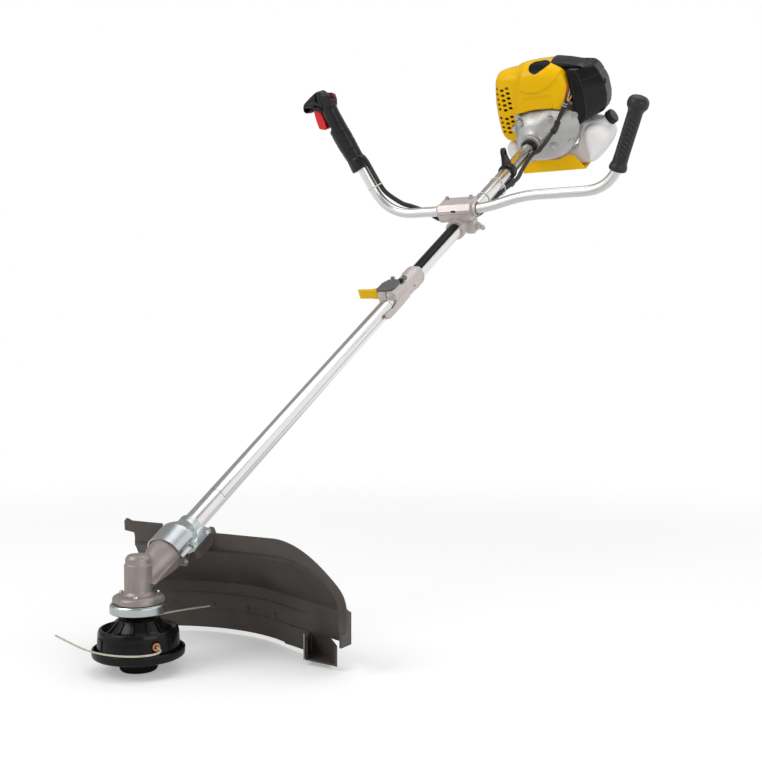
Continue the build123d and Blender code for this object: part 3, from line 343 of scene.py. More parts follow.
def swept(name: str, line: Points, side: Points, section: Points, closed: bool = True, capped: bool = True
          ) -> bpy.types.Object:
    """A section carried along a line: each point is P + a S + b (T x S).

    Args:
        name: the piece's name.
        line: places in metres.
        side: one direction across the line for each place, or one for all.
        section: (a, b) points in metres.
        closed: whether the section closes on itself.
        capped: whether both ends are closed.
    """
    tangent = np.gradient(line, axis=0)
    tangent /= np.linalg.norm(tangent, axis=1, keepdims=True)
    across = np.broadcast_to(side, line.shape).astype(float)
    across = across - tangent * np.sum(across * tangent, axis=1, keepdims=True)
    across /= np.linalg.norm(across, axis=1, keepdims=True)
    other = np.cross(tangent, across)
    grid = line[:, None] + section[None, :, :1] * across[:, None] + section[None, :, 1:] * other[:, None]
    return surface(name, grid, wrap_v=closed, capped=capped and closed)


def circle(radius: float, count: int = 32) -> Points:
    """Points on a circle."""
    around = np.linspace(0, TURN, count, endpoint=False)
    return radius * np.column_stack([np.cos(around), np.sin(around)])


def evaluated(piece: bpy.types.Object) -> bpy.types.Object:
    """The piece with its modifiers made part of its mesh."""
    graph = bpy.context.evaluated_depsgraph_get()
    made = bpy.data.meshes.new_from_object(piece.evaluated_get(graph))
    piece.modifiers.clear()
    piece.data = made
    return piece


def walled(piece: bpy.types.Object, thickness: float, offset: float = -1.0) -> bpy.types.Object:
    """Gives an open surface a wall, in millimetres, on its inner side."""
    wall = piece.modifiers.new("wall", "SOLIDIFY")
    wall.thickness = thickness * MM
    wall.offset = offset
    wall.use_even_offset = True
    return evaluated(piece)


def edged(piece: bpy.types.Object, width: float, segments: int = 2, angle: float = 32.0) -> bpy.types.Object:
    """Rounds the edges past an angle with a Bevel modifier; the width is in millimetres."""
    bevel = piece.modifiers.new("edges", "BEVEL")
    bevel.width = width * MM
    bevel.segments = segments
    bevel.limit_method = "ANGLE"
    bevel.angle_limit = math.radians(angle)
    bevel.harden_normals = True
    return piece


def pierced(piece: bpy.types.Object, cutters: Sequence[bpy.types.Object]) -> bpy.types.Object:
    """Cuts the cutters out of the piece, and removes them."""
    for cutter in cutters:
        cut = piece.modifiers.new("cut", "BOOLEAN")
        cut.operation = "DIFFERENCE"
        cut.solver = "EXACT"
        cut.object = cutter
    evaluated(piece)
    for cutter in cutters:
        bpy.data.objects.remove(cutter)
    return piece


def joined(name: str, parts: Sequence[bpy.types.Object]) -> bpy.types.Object:
    """One object that holds the meshes of several parts."""
    shape = bmesh.new()
    for part in parts:
        shape.from_mesh(part.data)
    mesh = bpy.data.meshes.new(name)
    shape.to_mesh(mesh)
    shape.free()
    whole = bpy.data.objects.new(name, mesh)
    bpy.context.scene.collection.objects.link(whole)
    for part in parts:
        bpy.data.objects.remove(part)
    mesh.set_sharp_from_angle(angle=math.radians(35))
    return whole


# --------------------------------------------------------------------------
# Finishes
# --------------------------------------------------------------------------
class Pattern(Enum):
    """Where a finish takes the coordinates of its pattern from."""

    OBJECT = "object"
    ALONG_SHAFT = "along the shaft"
    SURFACE = "surface map"


def new_group(name: str, inputs: Sequence[tuple[str, str, object]], outputs: Sequence[tuple[str, str]]
              ) -> tuple[bpy.types.NodeTree, bpy.types.Node, bpy.types.Node]:
    """An empty shader node group with its sockets.

    Args:
        name: the group's name.
        inputs: name, socket type and default of each input.
        outputs: name and socket type of each output.

    Returns:
        The group, its input node and its output node.
    """
    group = bpy.data.node_groups.new(name, "ShaderNodeTree")
    for label, kind, default in inputs:
        socket = group.interface.new_socket(label, in_out="INPUT", socket_type=kind)
        if default is not None:
            socket.default_value = default
    for label, kind in outputs:
        group.interface.new_socket(label, in_out="OUTPUT", socket_type=kind)
    return group, group.nodes.new("NodeGroupInput"), group.nodes.new("NodeGroupOutput")


def math_node(tree: bpy.types.NodeTree, operation: str, *values: object) -> bpy.types.Node:
    """A Math node fed by sockets or numbers.

    Args:
        tree: the node tree or group that it is added to.
        operation: the node's operation.
        values: a socket or a number for each input, in order.
    """
    node = tree.nodes.new("ShaderNodeMath")
    node.operation = operation
    for socket, value in zip(node.inputs, values):
        if isinstance(value, (int, float)):
            socket.default_value = value
        else:
            tree.links.new(value, socket)
    return node


class Effects:
    """The shader node groups that the finishes share."""

    def __init__(self) -> None:
        """Builds every group once."""
        self.skin = self._skin()
        self.wear = self._wear()

    def _skin(self) -> bpy.types.NodeTree:
        """Moulded or cast skin: slow blotches in colour and gloss, and a fine grain in height."""
        group, start, end = new_group(
            "moulded_skin",
            [("Vector", "NodeSocketVector", None), ("Colour", "NodeSocketColor", (0.5, 0.5, 0.5, 1)),
             ("Second colour", "NodeSocketColor", (0.4, 0.4, 0.4, 1)), ("Blotch scale", "NodeSocketFloat", 20.0),
             ("Grain scale", "NodeSocketFloat", 900.0), ("Roughness", "NodeSocketFloat", 0.4),
             ("Roughness spread", "NodeSocketFloat", 0.1)],
            [("Colour", "NodeSocketColor"), ("Roughness", "NodeSocketFloat"), ("Height", "NodeSocketFloat")])
        blotch, grain = (group.nodes.new("ShaderNodeTexNoise") for _ in range(2))
        blotch.inputs["Detail"].default_value = 5.0
        grain.inputs["Detail"].default_value = 3.0
        for noise, scale in ((blotch, "Blotch scale"), (grain, "Grain scale")):
            group.links.new(start.outputs["Vector"], noise.inputs["Vector"])
            group.links.new(start.outputs[scale], noise.inputs["Scale"])
        spread = group.nodes.new("ShaderNodeMapRange")
        spread.inputs["From Min"].default_value, spread.inputs["From Max"].default_value = 0.3, 0.7
        group.links.new(blotch.outputs["Fac"], spread.inputs["Value"])
        mix = group.nodes.new("ShaderNodeMix")
        mix.data_type = "RGBA"
        group.links.new(spread.outputs["Result"], mix.inputs["Factor"])
        group.links.new(start.outputs["Colour"], mix.inputs["A"])
        group.links.new(start.outputs["Second colour"], mix.inputs["B"])
        both = math_node(group, "ADD", math_node(group, "MULTIPLY", blotch.outputs["Fac"], 0.5).outputs[0],
                          math_node(group, "MULTIPLY", grain.outputs["Fac"], 0.5).outputs[0])
        offset = math_node(group, "SUBTRACT", both.outputs[0], 0.5)
        scaled = math_node(group, "MULTIPLY", offset.outputs[0], start.outputs["Roughness spread"])
        rough = math_node(group, "ADD", start.outputs["Roughness"], scaled.outputs[0])
        group.links.new(mix.outputs["Result"], end.inputs["Colour"])
        group.links.new(rough.outputs[0], end.inputs["Roughness"])
        group.links.new(grain.outputs["Fac"], end.inputs["Height"])
        return group

    def _wear(self) -> bpy.types.NodeTree:
        """Edge wear: convex edges turn toward a worn colour, broken up by noise."""
        group, start, end = new_group(
            "edge_wear",
            [("Vector", "NodeSocketVector", None), ("Colour", "NodeSocketColor", (0.5, 0.5, 0.5, 1)),
             ("Worn colour", "NodeSocketColor", (0.8, 0.8, 0.8, 1)), ("Amount", "NodeSocketFloat", 0.5)],
            [("Colour", "NodeSocketColor"), ("Mask", "NodeSocketFloat")])
        shape = group.nodes.new("ShaderNodeNewGeometry")
        edge = group.nodes.new("ShaderNodeMapRange")
        edge.inputs["From Min"].default_value, edge.inputs["From Max"].default_value = 0.52, 0.62
        noise = group.nodes.new("ShaderNodeTexNoise")
        noise.inputs["Scale"].default_value = 160.0
        group.links.new(start.outputs["Vector"], noise.inputs["Vector"])
        group.links.new(shape.outputs["Pointiness"], edge.inputs["Value"])
        broken = math_node(group, "MULTIPLY", edge.outputs["Result"], noise.outputs["Fac"])
        mask = math_node(group, "MULTIPLY", broken.outputs[0], start.outputs["Amount"])
        mix = group.nodes.new("ShaderNodeMix")
        mix.data_type = "RGBA"
        group.links.new(mask.outputs[0], mix.inputs["Factor"])
        group.links.new(start.outputs["Colour"], mix.inputs["A"])
        group.links.new(start.outputs["Worn colour"], mix.inputs["B"])
        group.links.new(mix.outputs["Result"], end.inputs["Colour"])
        group.links.new(mask.outputs[0], end.inputs["Mask"])
        return group


@dataclass(frozen=True)
class Finish:
    """One surface finish and the numbers of its shader."""

    name: str
    colour: Colour
    second: Colour
    roughness: float
    spread: float = 0.1
    metallic: float = 0.0
    coat: float = 0.0
    blotch: float = 20.0
    grain: float = 900.0
    depth: float = 0.01
    wear: float = 0.0
    worn: Colour = (0.8, 0.8, 0.8)
    pattern: Pattern = Pattern.OBJECT
    draw: float = 1.0
    translucent: float = 0.0
    specular: float = 0.5

    def material(self, effects: Effects) -> bpy.types.Material:
        """The finish as a material.

        Args:
            effects: the node groups that it places.

        Returns:
            A material whose colour, roughness and height come from the shared groups.
        """
        made = bpy.data.materials.new(self.name)
        made.use_nodes = True
        tree = made.node_tree
        shader = tree.nodes["Principled BSDF"]
        vector = self._vector(tree)
        skin = tree.nodes.new("ShaderNodeGroup")
        skin.node_tree = effects.skin
        tree.links.new(vector, skin.inputs["Vector"])
        for label, value in (("Colour", (*self.colour, 1)), ("Second colour", (*self.second, 1)),
                             ("Blotch scale", self.blotch), ("Grain scale", self.grain),
                             ("Roughness", self.roughness), ("Roughness spread", self.spread)):
            skin.inputs[label].default_value = value
        colour = skin.outputs["Colour"]
        if self.wear:
            wear = tree.nodes.new("ShaderNodeGroup")
            wear.node_tree = effects.wear
            wear.inputs["Worn colour"].default_value = (*self.worn, 1)
            wear.inputs["Amount"].default_value = self.wear
            tree.links.new(vector, wear.inputs["Vector"])
            tree.links.new(colour, wear.inputs["Colour"])
            colour = wear.outputs["Colour"]
        tree.links.new(colour, shader.inputs["Base Color"])
        tree.links.new(skin.outputs["Roughness"], shader.inputs["Roughness"])
        relief = tree.nodes.new("ShaderNodeBump")
        relief.inputs["Strength"].default_value = 0.5
        relief.inputs["Distance"].default_value = self.depth * MM
        tree.links.new(skin.outputs["Height"], relief.inputs["Height"])
        tree.links.new(relief.outputs["Normal"], shader.inputs["Normal"])
        shader.inputs["Metallic"].default_value = self.metallic
        shader.inputs["Specular IOR Level"].default_value = self.specular
        shader.inputs["Coat Weight"].default_value = self.coat
        shader.inputs["Coat Roughness"].default_value = 0.06
        if self.translucent:
            shader.inputs["Subsurface Weight"].default_value = self.translucent
            shader.inputs["Subsurface Radius"].default_value = (0.03, 0.03, 0.028)
            shader.inputs["Subsurface Scale"].default_value = 0.5
        return made

    def _vector(self, tree: bpy.types.NodeTree) -> bpy.types.NodeSocket:
        """The pattern's coordinates, drawn out along the piece where the finish is drawn or brushed."""
        source = tree.nodes.new("ShaderNodeTexCoord")
        frame = tree.nodes.new("ShaderNodeMapping")
        frame.vector_type = "TEXTURE"
        if self.pattern is Pattern.SURFACE:
            tree.links.new(source.outputs["UV"], frame.inputs["Vector"])
            frame.inputs["Scale"].default_value = (self.draw, 1, 1)
        else:
            tree.links.new(source.outputs["Object"], frame.inputs["Vector"])
        if self.pattern is Pattern.ALONG_SHAFT:
            frame.inputs["Rotation"].default_value = (math.radians(30), 0, 0)
            frame.inputs["Scale"].default_value = (1, self.draw, 1)
        return frame.outputs["Vector"]


class Finishes:
    """Every finish on the machine."""

    YELLOW = Finish("yellow_moulding", (0.97, 0.56, 0.0), (0.94, 0.535, 0.0), 0.2, 0.08, blotch=9, grain=1400,
                    depth=0.006, specular=0.16)
    BLACK = Finish("black_moulding", (0.007, 0.007, 0.0072), (0.010, 0.010, 0.0105), 0.3, 0.14, blotch=30,
                   grain=1800, depth=0.02, wear=0.35, worn=(0.04, 0.04, 0.04), specular=0.34)
    BLACK_GLOSS = Finish("black_cover", (0.0065, 0.0065, 0.007), (0.009, 0.009, 0.009), 0.24, 0.12, blotch=14,
                         grain=2200, depth=0.012, specular=0.24)
    SPOOL = Finish("spool_nylon", (0.0042, 0.0038, 0.0037), (0.007, 0.0064, 0.006), 0.24, 0.1, blotch=40,
                   grain=1500, depth=0.008, wear=0.3, worn=(0.03, 0.03, 0.03), specular=0.24)
    GUARD = Finish("guard_moulding", (0.060, 0.052, 0.047), (0.098, 0.085, 0.077), 0.4, 0.24, blotch=16, grain=700,
                   depth=0.04, wear=0.45, worn=(0.17, 0.155, 0.145), specular=0.3)
    RUBBER = Finish("grip_rubber", (0.012, 0.012, 0.0125), (0.017, 0.017, 0.0175), 0.42, 0.12, blotch=50, grain=2400,
                    depth=0.03, specular=0.45)
    TUBE = Finish("drawn_tube", (0.82, 0.81, 0.80), (0.78, 0.77, 0.765), 0.21, 0.05, 1.0, blotch=60, grain=1600,
                  depth=0.001, pattern=Pattern.ALONG_SHAFT, draw=40)
    BAR = Finish("drawn_bar", (0.84, 0.82, 0.81), (0.80, 0.785, 0.775), 0.3, 0.04, 1.0, blotch=30, grain=1600,
                 depth=0.0006, pattern=Pattern.SURFACE, draw=40)
    CAST_WARM = Finish("warm_casting", (0.40, 0.345, 0.325), (0.33, 0.285, 0.268), 0.46, 0.16, 0.55, blotch=45,
                       grain=1300, depth=0.05, wear=0.5, worn=(0.72, 0.66, 0.63))
    CAST_PALE = Finish("pale_casting", (0.64, 0.585, 0.56), (0.58, 0.525, 0.50), 0.4, 0.1, 0.4, blotch=25,
                       grain=1300, depth=0.012, wear=0.25, worn=(0.85, 0.8, 0.78))
    CAST = Finish("bright_casting", (0.56, 0.55, 0.545), (0.45, 0.44, 0.43), 0.4, 0.16, 0.7, blotch=35, grain=1100,
                  depth=0.05, wear=0.5, worn=(0.85, 0.85, 0.85))
    ZINC = Finish("zinc_plate", (0.62, 0.65, 0.66), (0.52, 0.56, 0.57), 0.27, 0.2, 0.95, blotch=28, grain=900,
                  depth=0.01, wear=0.4, worn=(0.85, 0.85, 0.85))
    STEEL = Finish("bright_steel", (0.56, 0.56, 0.57), (0.46, 0.46, 0.47), 0.28, 0.15, 1.0, blotch=80, grain=2000,
                   depth=0.01)
    BLADE = Finish("blade_steel", (0.42, 0.42, 0.42), (0.3, 0.3, 0.3), 0.32, 0.2, 1.0, blotch=90, grain=2000,
                   depth=0.01)
    # dark steel for the muffler and clutch shoes, and painted shade for the clamp's slot
    DARK_STEEL_AND_SLOT_SHADE = Finish("scorched_steel_and_slot_shade", (0.06, 0.06, 0.06), (0.035, 0.034, 0.033), 0.5, 0.2, 0.7, blotch=35,
                        grain=900, depth=0.03)
    COPPER = Finish("copper_eyelet", (0.72, 0.33, 0.13), (0.5, 0.2, 0.07), 0.3, 0.2, 1.0, blotch=150, grain=2000,
                    depth=0.01)
    BRASS = Finish("brass_washer", (0.72, 0.55, 0.2), (0.6, 0.44, 0.15), 0.3, 0.15, 1.0, blotch=60, grain=1600,
                   depth=0.01)
    NYLON_LINE = Finish("nylon_line", (0.60, 0.56, 0.45), (0.5, 0.46, 0.36), 0.35, 0.1, blotch=120, grain=2600,
                        depth=0.01, translucent=0.2)
    TANK = Finish("tank_plastic", (0.95, 0.935, 0.925), (0.92, 0.905, 0.89), 0.5, 0.1, blotch=10, grain=900,
                  depth=0.02, translucent=0.2, specular=0.2)
    RED = Finish("red_trigger", (0.80, 0.002, 0.003), (0.70, 0.002, 0.003), 0.25, 0.1, coat=0.1, blotch=60,
                 grain=1800, depth=0.01)
    DARK_RED = Finish("switch_red", (0.2, 0.004, 0.012), (0.16, 0.003, 0.01), 0.35, 0.1, blotch=60, grain=1800,
                      depth=0.01)
    LEVER = Finish("lever_yellow", (0.95, 0.56, 0.002), (0.90, 0.52, 0.002), 0.3, 0.08, blotch=20, grain=1500,
                   depth=0.006, specular=0.2)
    GREY = Finish("grey_cap", (0.10, 0.097, 0.094), (0.13, 0.127, 0.124), 0.42, 0.12, blotch=30, grain=1600,
                  depth=0.02)
    LOOM = Finish("loom_sleeve", (0.014, 0.0135, 0.013), (0.02, 0.019, 0.018), 0.45, 0.15, blotch=60, grain=2500,
                  depth=0.05)
    WHITE_TIE = Finish("white_tie", (0.74, 0.74, 0.73), (0.68, 0.68, 0.67), 0.35, 0.1, blotch=60, grain=2000,
                       depth=0.01)
    PRINT = Finish("black_band", (0.006, 0.006, 0.0065), (0.009, 0.009, 0.009), 0.3, 0.08, blotch=40, grain=1200,
                   depth=0.003, specular=0.1)
    PINSTRIPE = Finish("dark_pinstripe", (0.05, 0.05, 0.055), (0.07, 0.07, 0.075), 0.3, 0.08, blotch=40, grain=1200,
                       depth=0.003)
    WIRE_RED = Finish("red_wire", (0.6, 0.01, 0.02), (0.5, 0.01, 0.02), 0.35, 0.1, blotch=90, grain=2000, depth=0.01)
    WIRE_YELLOW = Finish("yellow_wire", (0.8, 0.55, 0.02), (0.7, 0.48, 0.02), 0.35, 0.1, blotch=90, grain=2000,
                         depth=0.01)
    WIRE_DARK = Finish("dark_wire", (0.06, 0.015, 0.015), (0.04, 0.01, 0.01), 0.4, 0.1, blotch=90, grain=2000,
                       depth=0.01)


class Bench:
    """Dresses pieces: finish, body and the CAD nodes that they stand for."""

    def __init__(self, frame: dict) -> None:
        """Reads which body and slot each CAD node has."""
        self.nodes: dict = frame["nodes"]
        self.effects = Effects()
        self.materials: dict[str, bpy.types.Material] = {}
        record = frame["record"]
        self.body = {n: b for b, members in record["behaviour"]["bodies"].items() for n in members}
        self.slots = {s["node"]: s["material_slot"] for s in record["subparts"]}

    def material(self, finish: Finish) -> bpy.types.Material:
        """The finish's material, built the first time that it is asked for."""
        if finish.name not in self.materials:
            self.materials[finish.name] = finish.material(self.effects)
        return self.materials[finish.name]

    def dress(self, piece: bpy.types.Object, finish: Finish, node: str, stands_for: Sequence[str] = ()
              ) -> bpy.types.Object:
        """Gives a piece its finish and makes it ride with a node's body.

        Args:
            piece: the new piece.
            finish: its surface finish.
            node: the CAD node whose body it shares.
            stands_for: the CAD nodes that it replaces.
        """
        self.paint(piece, finish, node)
        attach(piece, self.body[node])
        if stands_for:
            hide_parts(*stands_for)
        LOG.info("%s rides on %s", piece.name, self.body[node])
        return piece

    def paint(self, piece: bpy.types.Object, finish: Finish, node: str) -> None:
        """Gives a piece its finish."""
        piece.data.materials.clear()
        piece.data.materials.append(self.material(finish))

    def standing(self, piece: bpy.types.Object, finish: Finish, node: str) -> bpy.types.Object:
        """Dresses a piece that stands for one node."""
        return self.dress(piece, finish, node, (node,))

    def softened(self, node: str, finish: Finish, width: float = 0.6, segments: int = 2, sharp: float = 35.0
                 ) -> bpy.types.Object:
        """A merged copy of a node with rounded edges, which stands for it.

        Args:
            node: the CAD node.
            finish: its surface finish.
            width: width of the rounded edges in millimetres.
            segments: steps across each rounded edge.
            sharp: angle in degrees past which an edge is rounded.
        """
        mesh = self.nodes[node].data.copy()
        if "custom_normal" in mesh.attributes:
            mesh.attributes.remove(mesh.attributes["custom_normal"])
        piece = bpy.data.objects.new(f"{node}_form", mesh)
        bpy.context.scene.collection.objects.link(piece)
        shape = bmesh.new()
        shape.from_mesh(mesh)
        bmesh.ops.remove_doubles(shape, verts=shape.verts, dist=2e-6)
        bmesh.ops.dissolve_limit(shape, angle_limit=math.radians(0.6), verts=shape.verts, edges=shape.edges)
        shape.to_mesh(mesh)
        shape.free()
        mesh.polygons.foreach_set("use_smooth", np.ones(len(mesh.polygons), bool))
        mesh.set_sharp_from_angle(angle=math.radians(sharp))
        if width:
            edged(piece, width, segments, sharp)
        return self.standing(piece, finish, node)

    def plain(self, finish: Finish, *nodes: str) -> None:
        """Gives carried-over CAD nodes their finish."""
        for node in nodes:
            data = self.nodes[node].data
            data.materials.clear()
            data.materials.append(self.material(finish))
            LOG.info("%s keeps its own form", node)


def smoothed(grid: Points, count: int) -> Points:
    """Rows of a grid resampled along a Catmull-Rom curve: each value is a cubic of the four rows round it."""
    at = np.linspace(0, len(grid) - 1, count)
    k = np.clip(at.astype(int), 0, len(grid) - 2)
    t = (at - k)[:, None, None]
    a, b, c, d = (grid[np.clip(k + step, 0, len(grid) - 1)] for step in (-1, 0, 1, 2))
    return 0.5 * (2 * b + (c - a) * t + (2 * a - 5 * b + 4 * c - d) * t**2 + (3 * b - 3 * c + d - a) * t**3)


def facing(axes: Axes) -> Axes:
    """The same frame turned round, so that its third direction looks back down the shaft."""
    flip = [tuple(-k for k in axes.first), axes.second, tuple(-k for k in axes.third)]
    return Axes(axes.origin, *flip)


def rod_between(name: str, start: Points, end: Points, radius: float, count: int = 40) -> bpy.types.Object:
    """A round rod from one place to another, both in metres, its radius in millimetres."""
    line = np.linspace(start, end, 3)
    side = np.array([0.31, 0.87, 0.38])
    return swept(name, line, side, circle(radius * MM, count))


def hex_bolt(name: str, axes: Axes, across: float, height: float, collar: float = 0.0) -> bpy.types.Object:
    """A hexagon head with a domed top and a round collar under it, standing on the frame's third direction."""
    count = 48
    around = np.linspace(0, TURN, count, endpoint=False)
    sector = (around % (TURN / 6)) - TURN / 12
    hexagon = across / 2 / np.cos(sector)
    rows = [(0, np.full(count, across / 2 + collar)), (0.8, np.full(count, across / 2 + collar)),
            (0.9, hexagon), (height - 0.8, hexagon), (height, np.full(count, across / 2 * 0.9)),
            (height, np.full(count, 0.0))]
    grid = np.array([axes.place(r * np.cos(around), r * np.sin(around), z) for z, r in rows])
    return surface(name, grid, wrap_v=True, sharp=30)


# --------------------------------------------------------------------------
# Sub-assemblies
# --------------------------------------------------------------------------
@dataclass
class TrimmerHead:
    """Line head, its knob, eyelets, holder ring and the two ends of line."""

    knob_radius: float = 24.0
    knob_height: float = 24.0
    cover_radius: float = 58.5
    housing_radius: float = 52.4
    line_diameter: float = 0.0024
    flutes: int = 36

    def build(self, bench: Bench) -> None:
        """Makes and dresses every piece of the head."""
        f = Finishes
        knob = turned("bump_knob_body", [(0, 0), (self.knob_radius - 3, 0), (self.knob_radius, 3),
                                         (self.knob_radius, 21.4), (29, 21.4), (29, self.knob_height), (0, 24)],
                      reach=1.6, closed=False, wave=0.9, waves=self.flutes, count=288)
        bench.standing(knob, f.SPOOL, "bump_knob")
        cover = turned("spool_cover_body", [(24.3, 18), (54, 18), (57.8, 20.4), (self.cover_radius, 23.5),
                                            (self.cover_radius, 30), (55.6, 30), (55.6, 21), (24.3, 21)], reach=1.4)
        bench.standing(cover, f.SPOOL, "spool_cover")
        self._housing(bench)
        bench.softened("line_eyelets", f.COPPER, 0.5)
        bench.softened("spacer_washer", f.BRASS, 0.3)
        bench.softened("holder_ring", f.ZINC, 0.7, 3)
        bench.plain(f.SPOOL, "line_spool")
        bench.plain(f.STEEL, "output_shaft", "bevel_gear", "pinion_gear", "gearcase_bearings")
        self._lines(bench)

    def _housing(self, bench: Bench) -> None:
        """Spool housing: a drum whose top dips behind its rim and climbs to the hub, with fins round the hub."""
        wall = self.housing_radius
        drum = turned("spool_housing_body", [
            (wall, 21.1), (50.8, 50.5), (49.4, 54.6), (46.4, 55.6), (43.8, 52.4), (41, 49.6), (35, 54), (28.6, 62),
            (25.6, 67.4), (20, 69.4), (19, 70.8), (5.1, 70.8), (5.1, 62), (8.5, 62), (8.5, 44.8), (14, 42.8), (40, 45.6),
            (46.4, 50.6), (48.2, 50.2), (49.8, 21.1)], reach=1.3, count=144)
        mouths = [rod_between("mouth", GROUND.place(hand * 45 * c, hand * 45 * s, 40),
                              GROUND.place(hand * 60 * c, hand * 60 * s, 40), 4.05, 32)
                  for hand, (c, s) in ((1, leaning(-25)), (-1, leaning(-25)))]
        bench.standing(pierced(drum, mouths), Finishes.SPOOL, "spool_housing")
        fins, latches = [], []
        fin = rounded([(27, 58), (27, 66), (30.5, 62.5), (37.5, 54.6), (43, 52.4), (43, 49)], 0.8, 4)
        fin = resampled(fin, 60, True)
        for turn in range(0, 360, 30):
            c, s = leaning(turn)
            upright = Axes(GROUND.origin, (c, s, 0), (0, 0, 1), (s, -c, 0))
            fins.append(drawn("hub_fin", fin, upright, -0.9, 0.9, 0.3, 3))
        latch = resampled(rounded([(-6, 26), (6, 26), (6, 47), (-6, 47)], 1.2, 4), 60, True)
        for turn in (5, 65, 185, 245):
            c, s = leaning(turn)
            outward = Axes(GROUND.origin, (-s, c, 0), (0, 0, 1), (c, s, 0))
            latches.append(drawn("latch", latch, outward, 49, 52.6, 0.7, 3))
        bench.dress(joined("hub_fins", fins), Finishes.SPOOL, "spool_housing")
        bench.dress(joined("cover_latches", latches), Finishes.SPOOL, "spool_housing")

    def _lines(self, bench: Bench) -> None:
        """The two ends of nylon line, each a smooth curve through its own control points."""
        front = [(48.9, -22.8, 40.0), (58.4, -27.2, 40.0), (66.5, -35.5, 39.6), (66.5, -48.5, 39.0),
                 (57.0, -61.5, 38.6), (40.5, -70.5, 38.4), (20.0, -75.5, 38.4), (-2.0, -75.5, 38.6),
                 (-24.0, -71.5, 39.0), (-46.0, -64.5, 39.8), (-70.0, -56.5, 41.0), (-96.0, -48.0, 42.5)]
        back = [(-48.9, 22.8, 40.0), (-58.0, 27.0, 40.0), (-65.5, 36.5, 40.2), (-68.5, 52.0, 40.6),
                (-67.5, 71.0, 41.2), (-63.0, 92.0, 42.0), (-56.0, 113.5, 42.8), (-47.0, 135.0, 43.5),
                (-36.5, 156.0, 44.0), (-24.0, 177.0, 44.4)]
        for name, route, length in (("cutting_line_front", front, 0.2115), ("cutting_line_back", back, 0.186)):
            line = curve(f"{name}_strand", [tuple(MM * k for k in p) for p in route], self.line_diameter / 2)
            bench.standing(line, Finishes.NYLON_LINE, name)


def curve(name: str, route: Sequence[Sequence[float]], radius: float, resolution: int = 12) -> bpy.types.Object:
    """A round strand on a smooth NURBS curve whose control points are the route's points, in metres."""
    data = bpy.data.curves.new(name, "CURVE")
    data.dimensions = "3D"
    spline = data.splines.new("NURBS")
    spline.points.add(len(route) - 1)
    spline.points.foreach_set("co", np.column_stack([np.array(route), np.ones(len(route))]).ravel())
    spline.order_u = 3
    spline.use_endpoint_u = True
    spline.resolution_u = resolution
    data.bevel_depth = radius
    data.bevel_resolution = 5
    data.use_fill_caps = True
    strand = bpy.data.objects.new(name, data)
    bpy.context.scene.collection.objects.link(strand)
    return strand


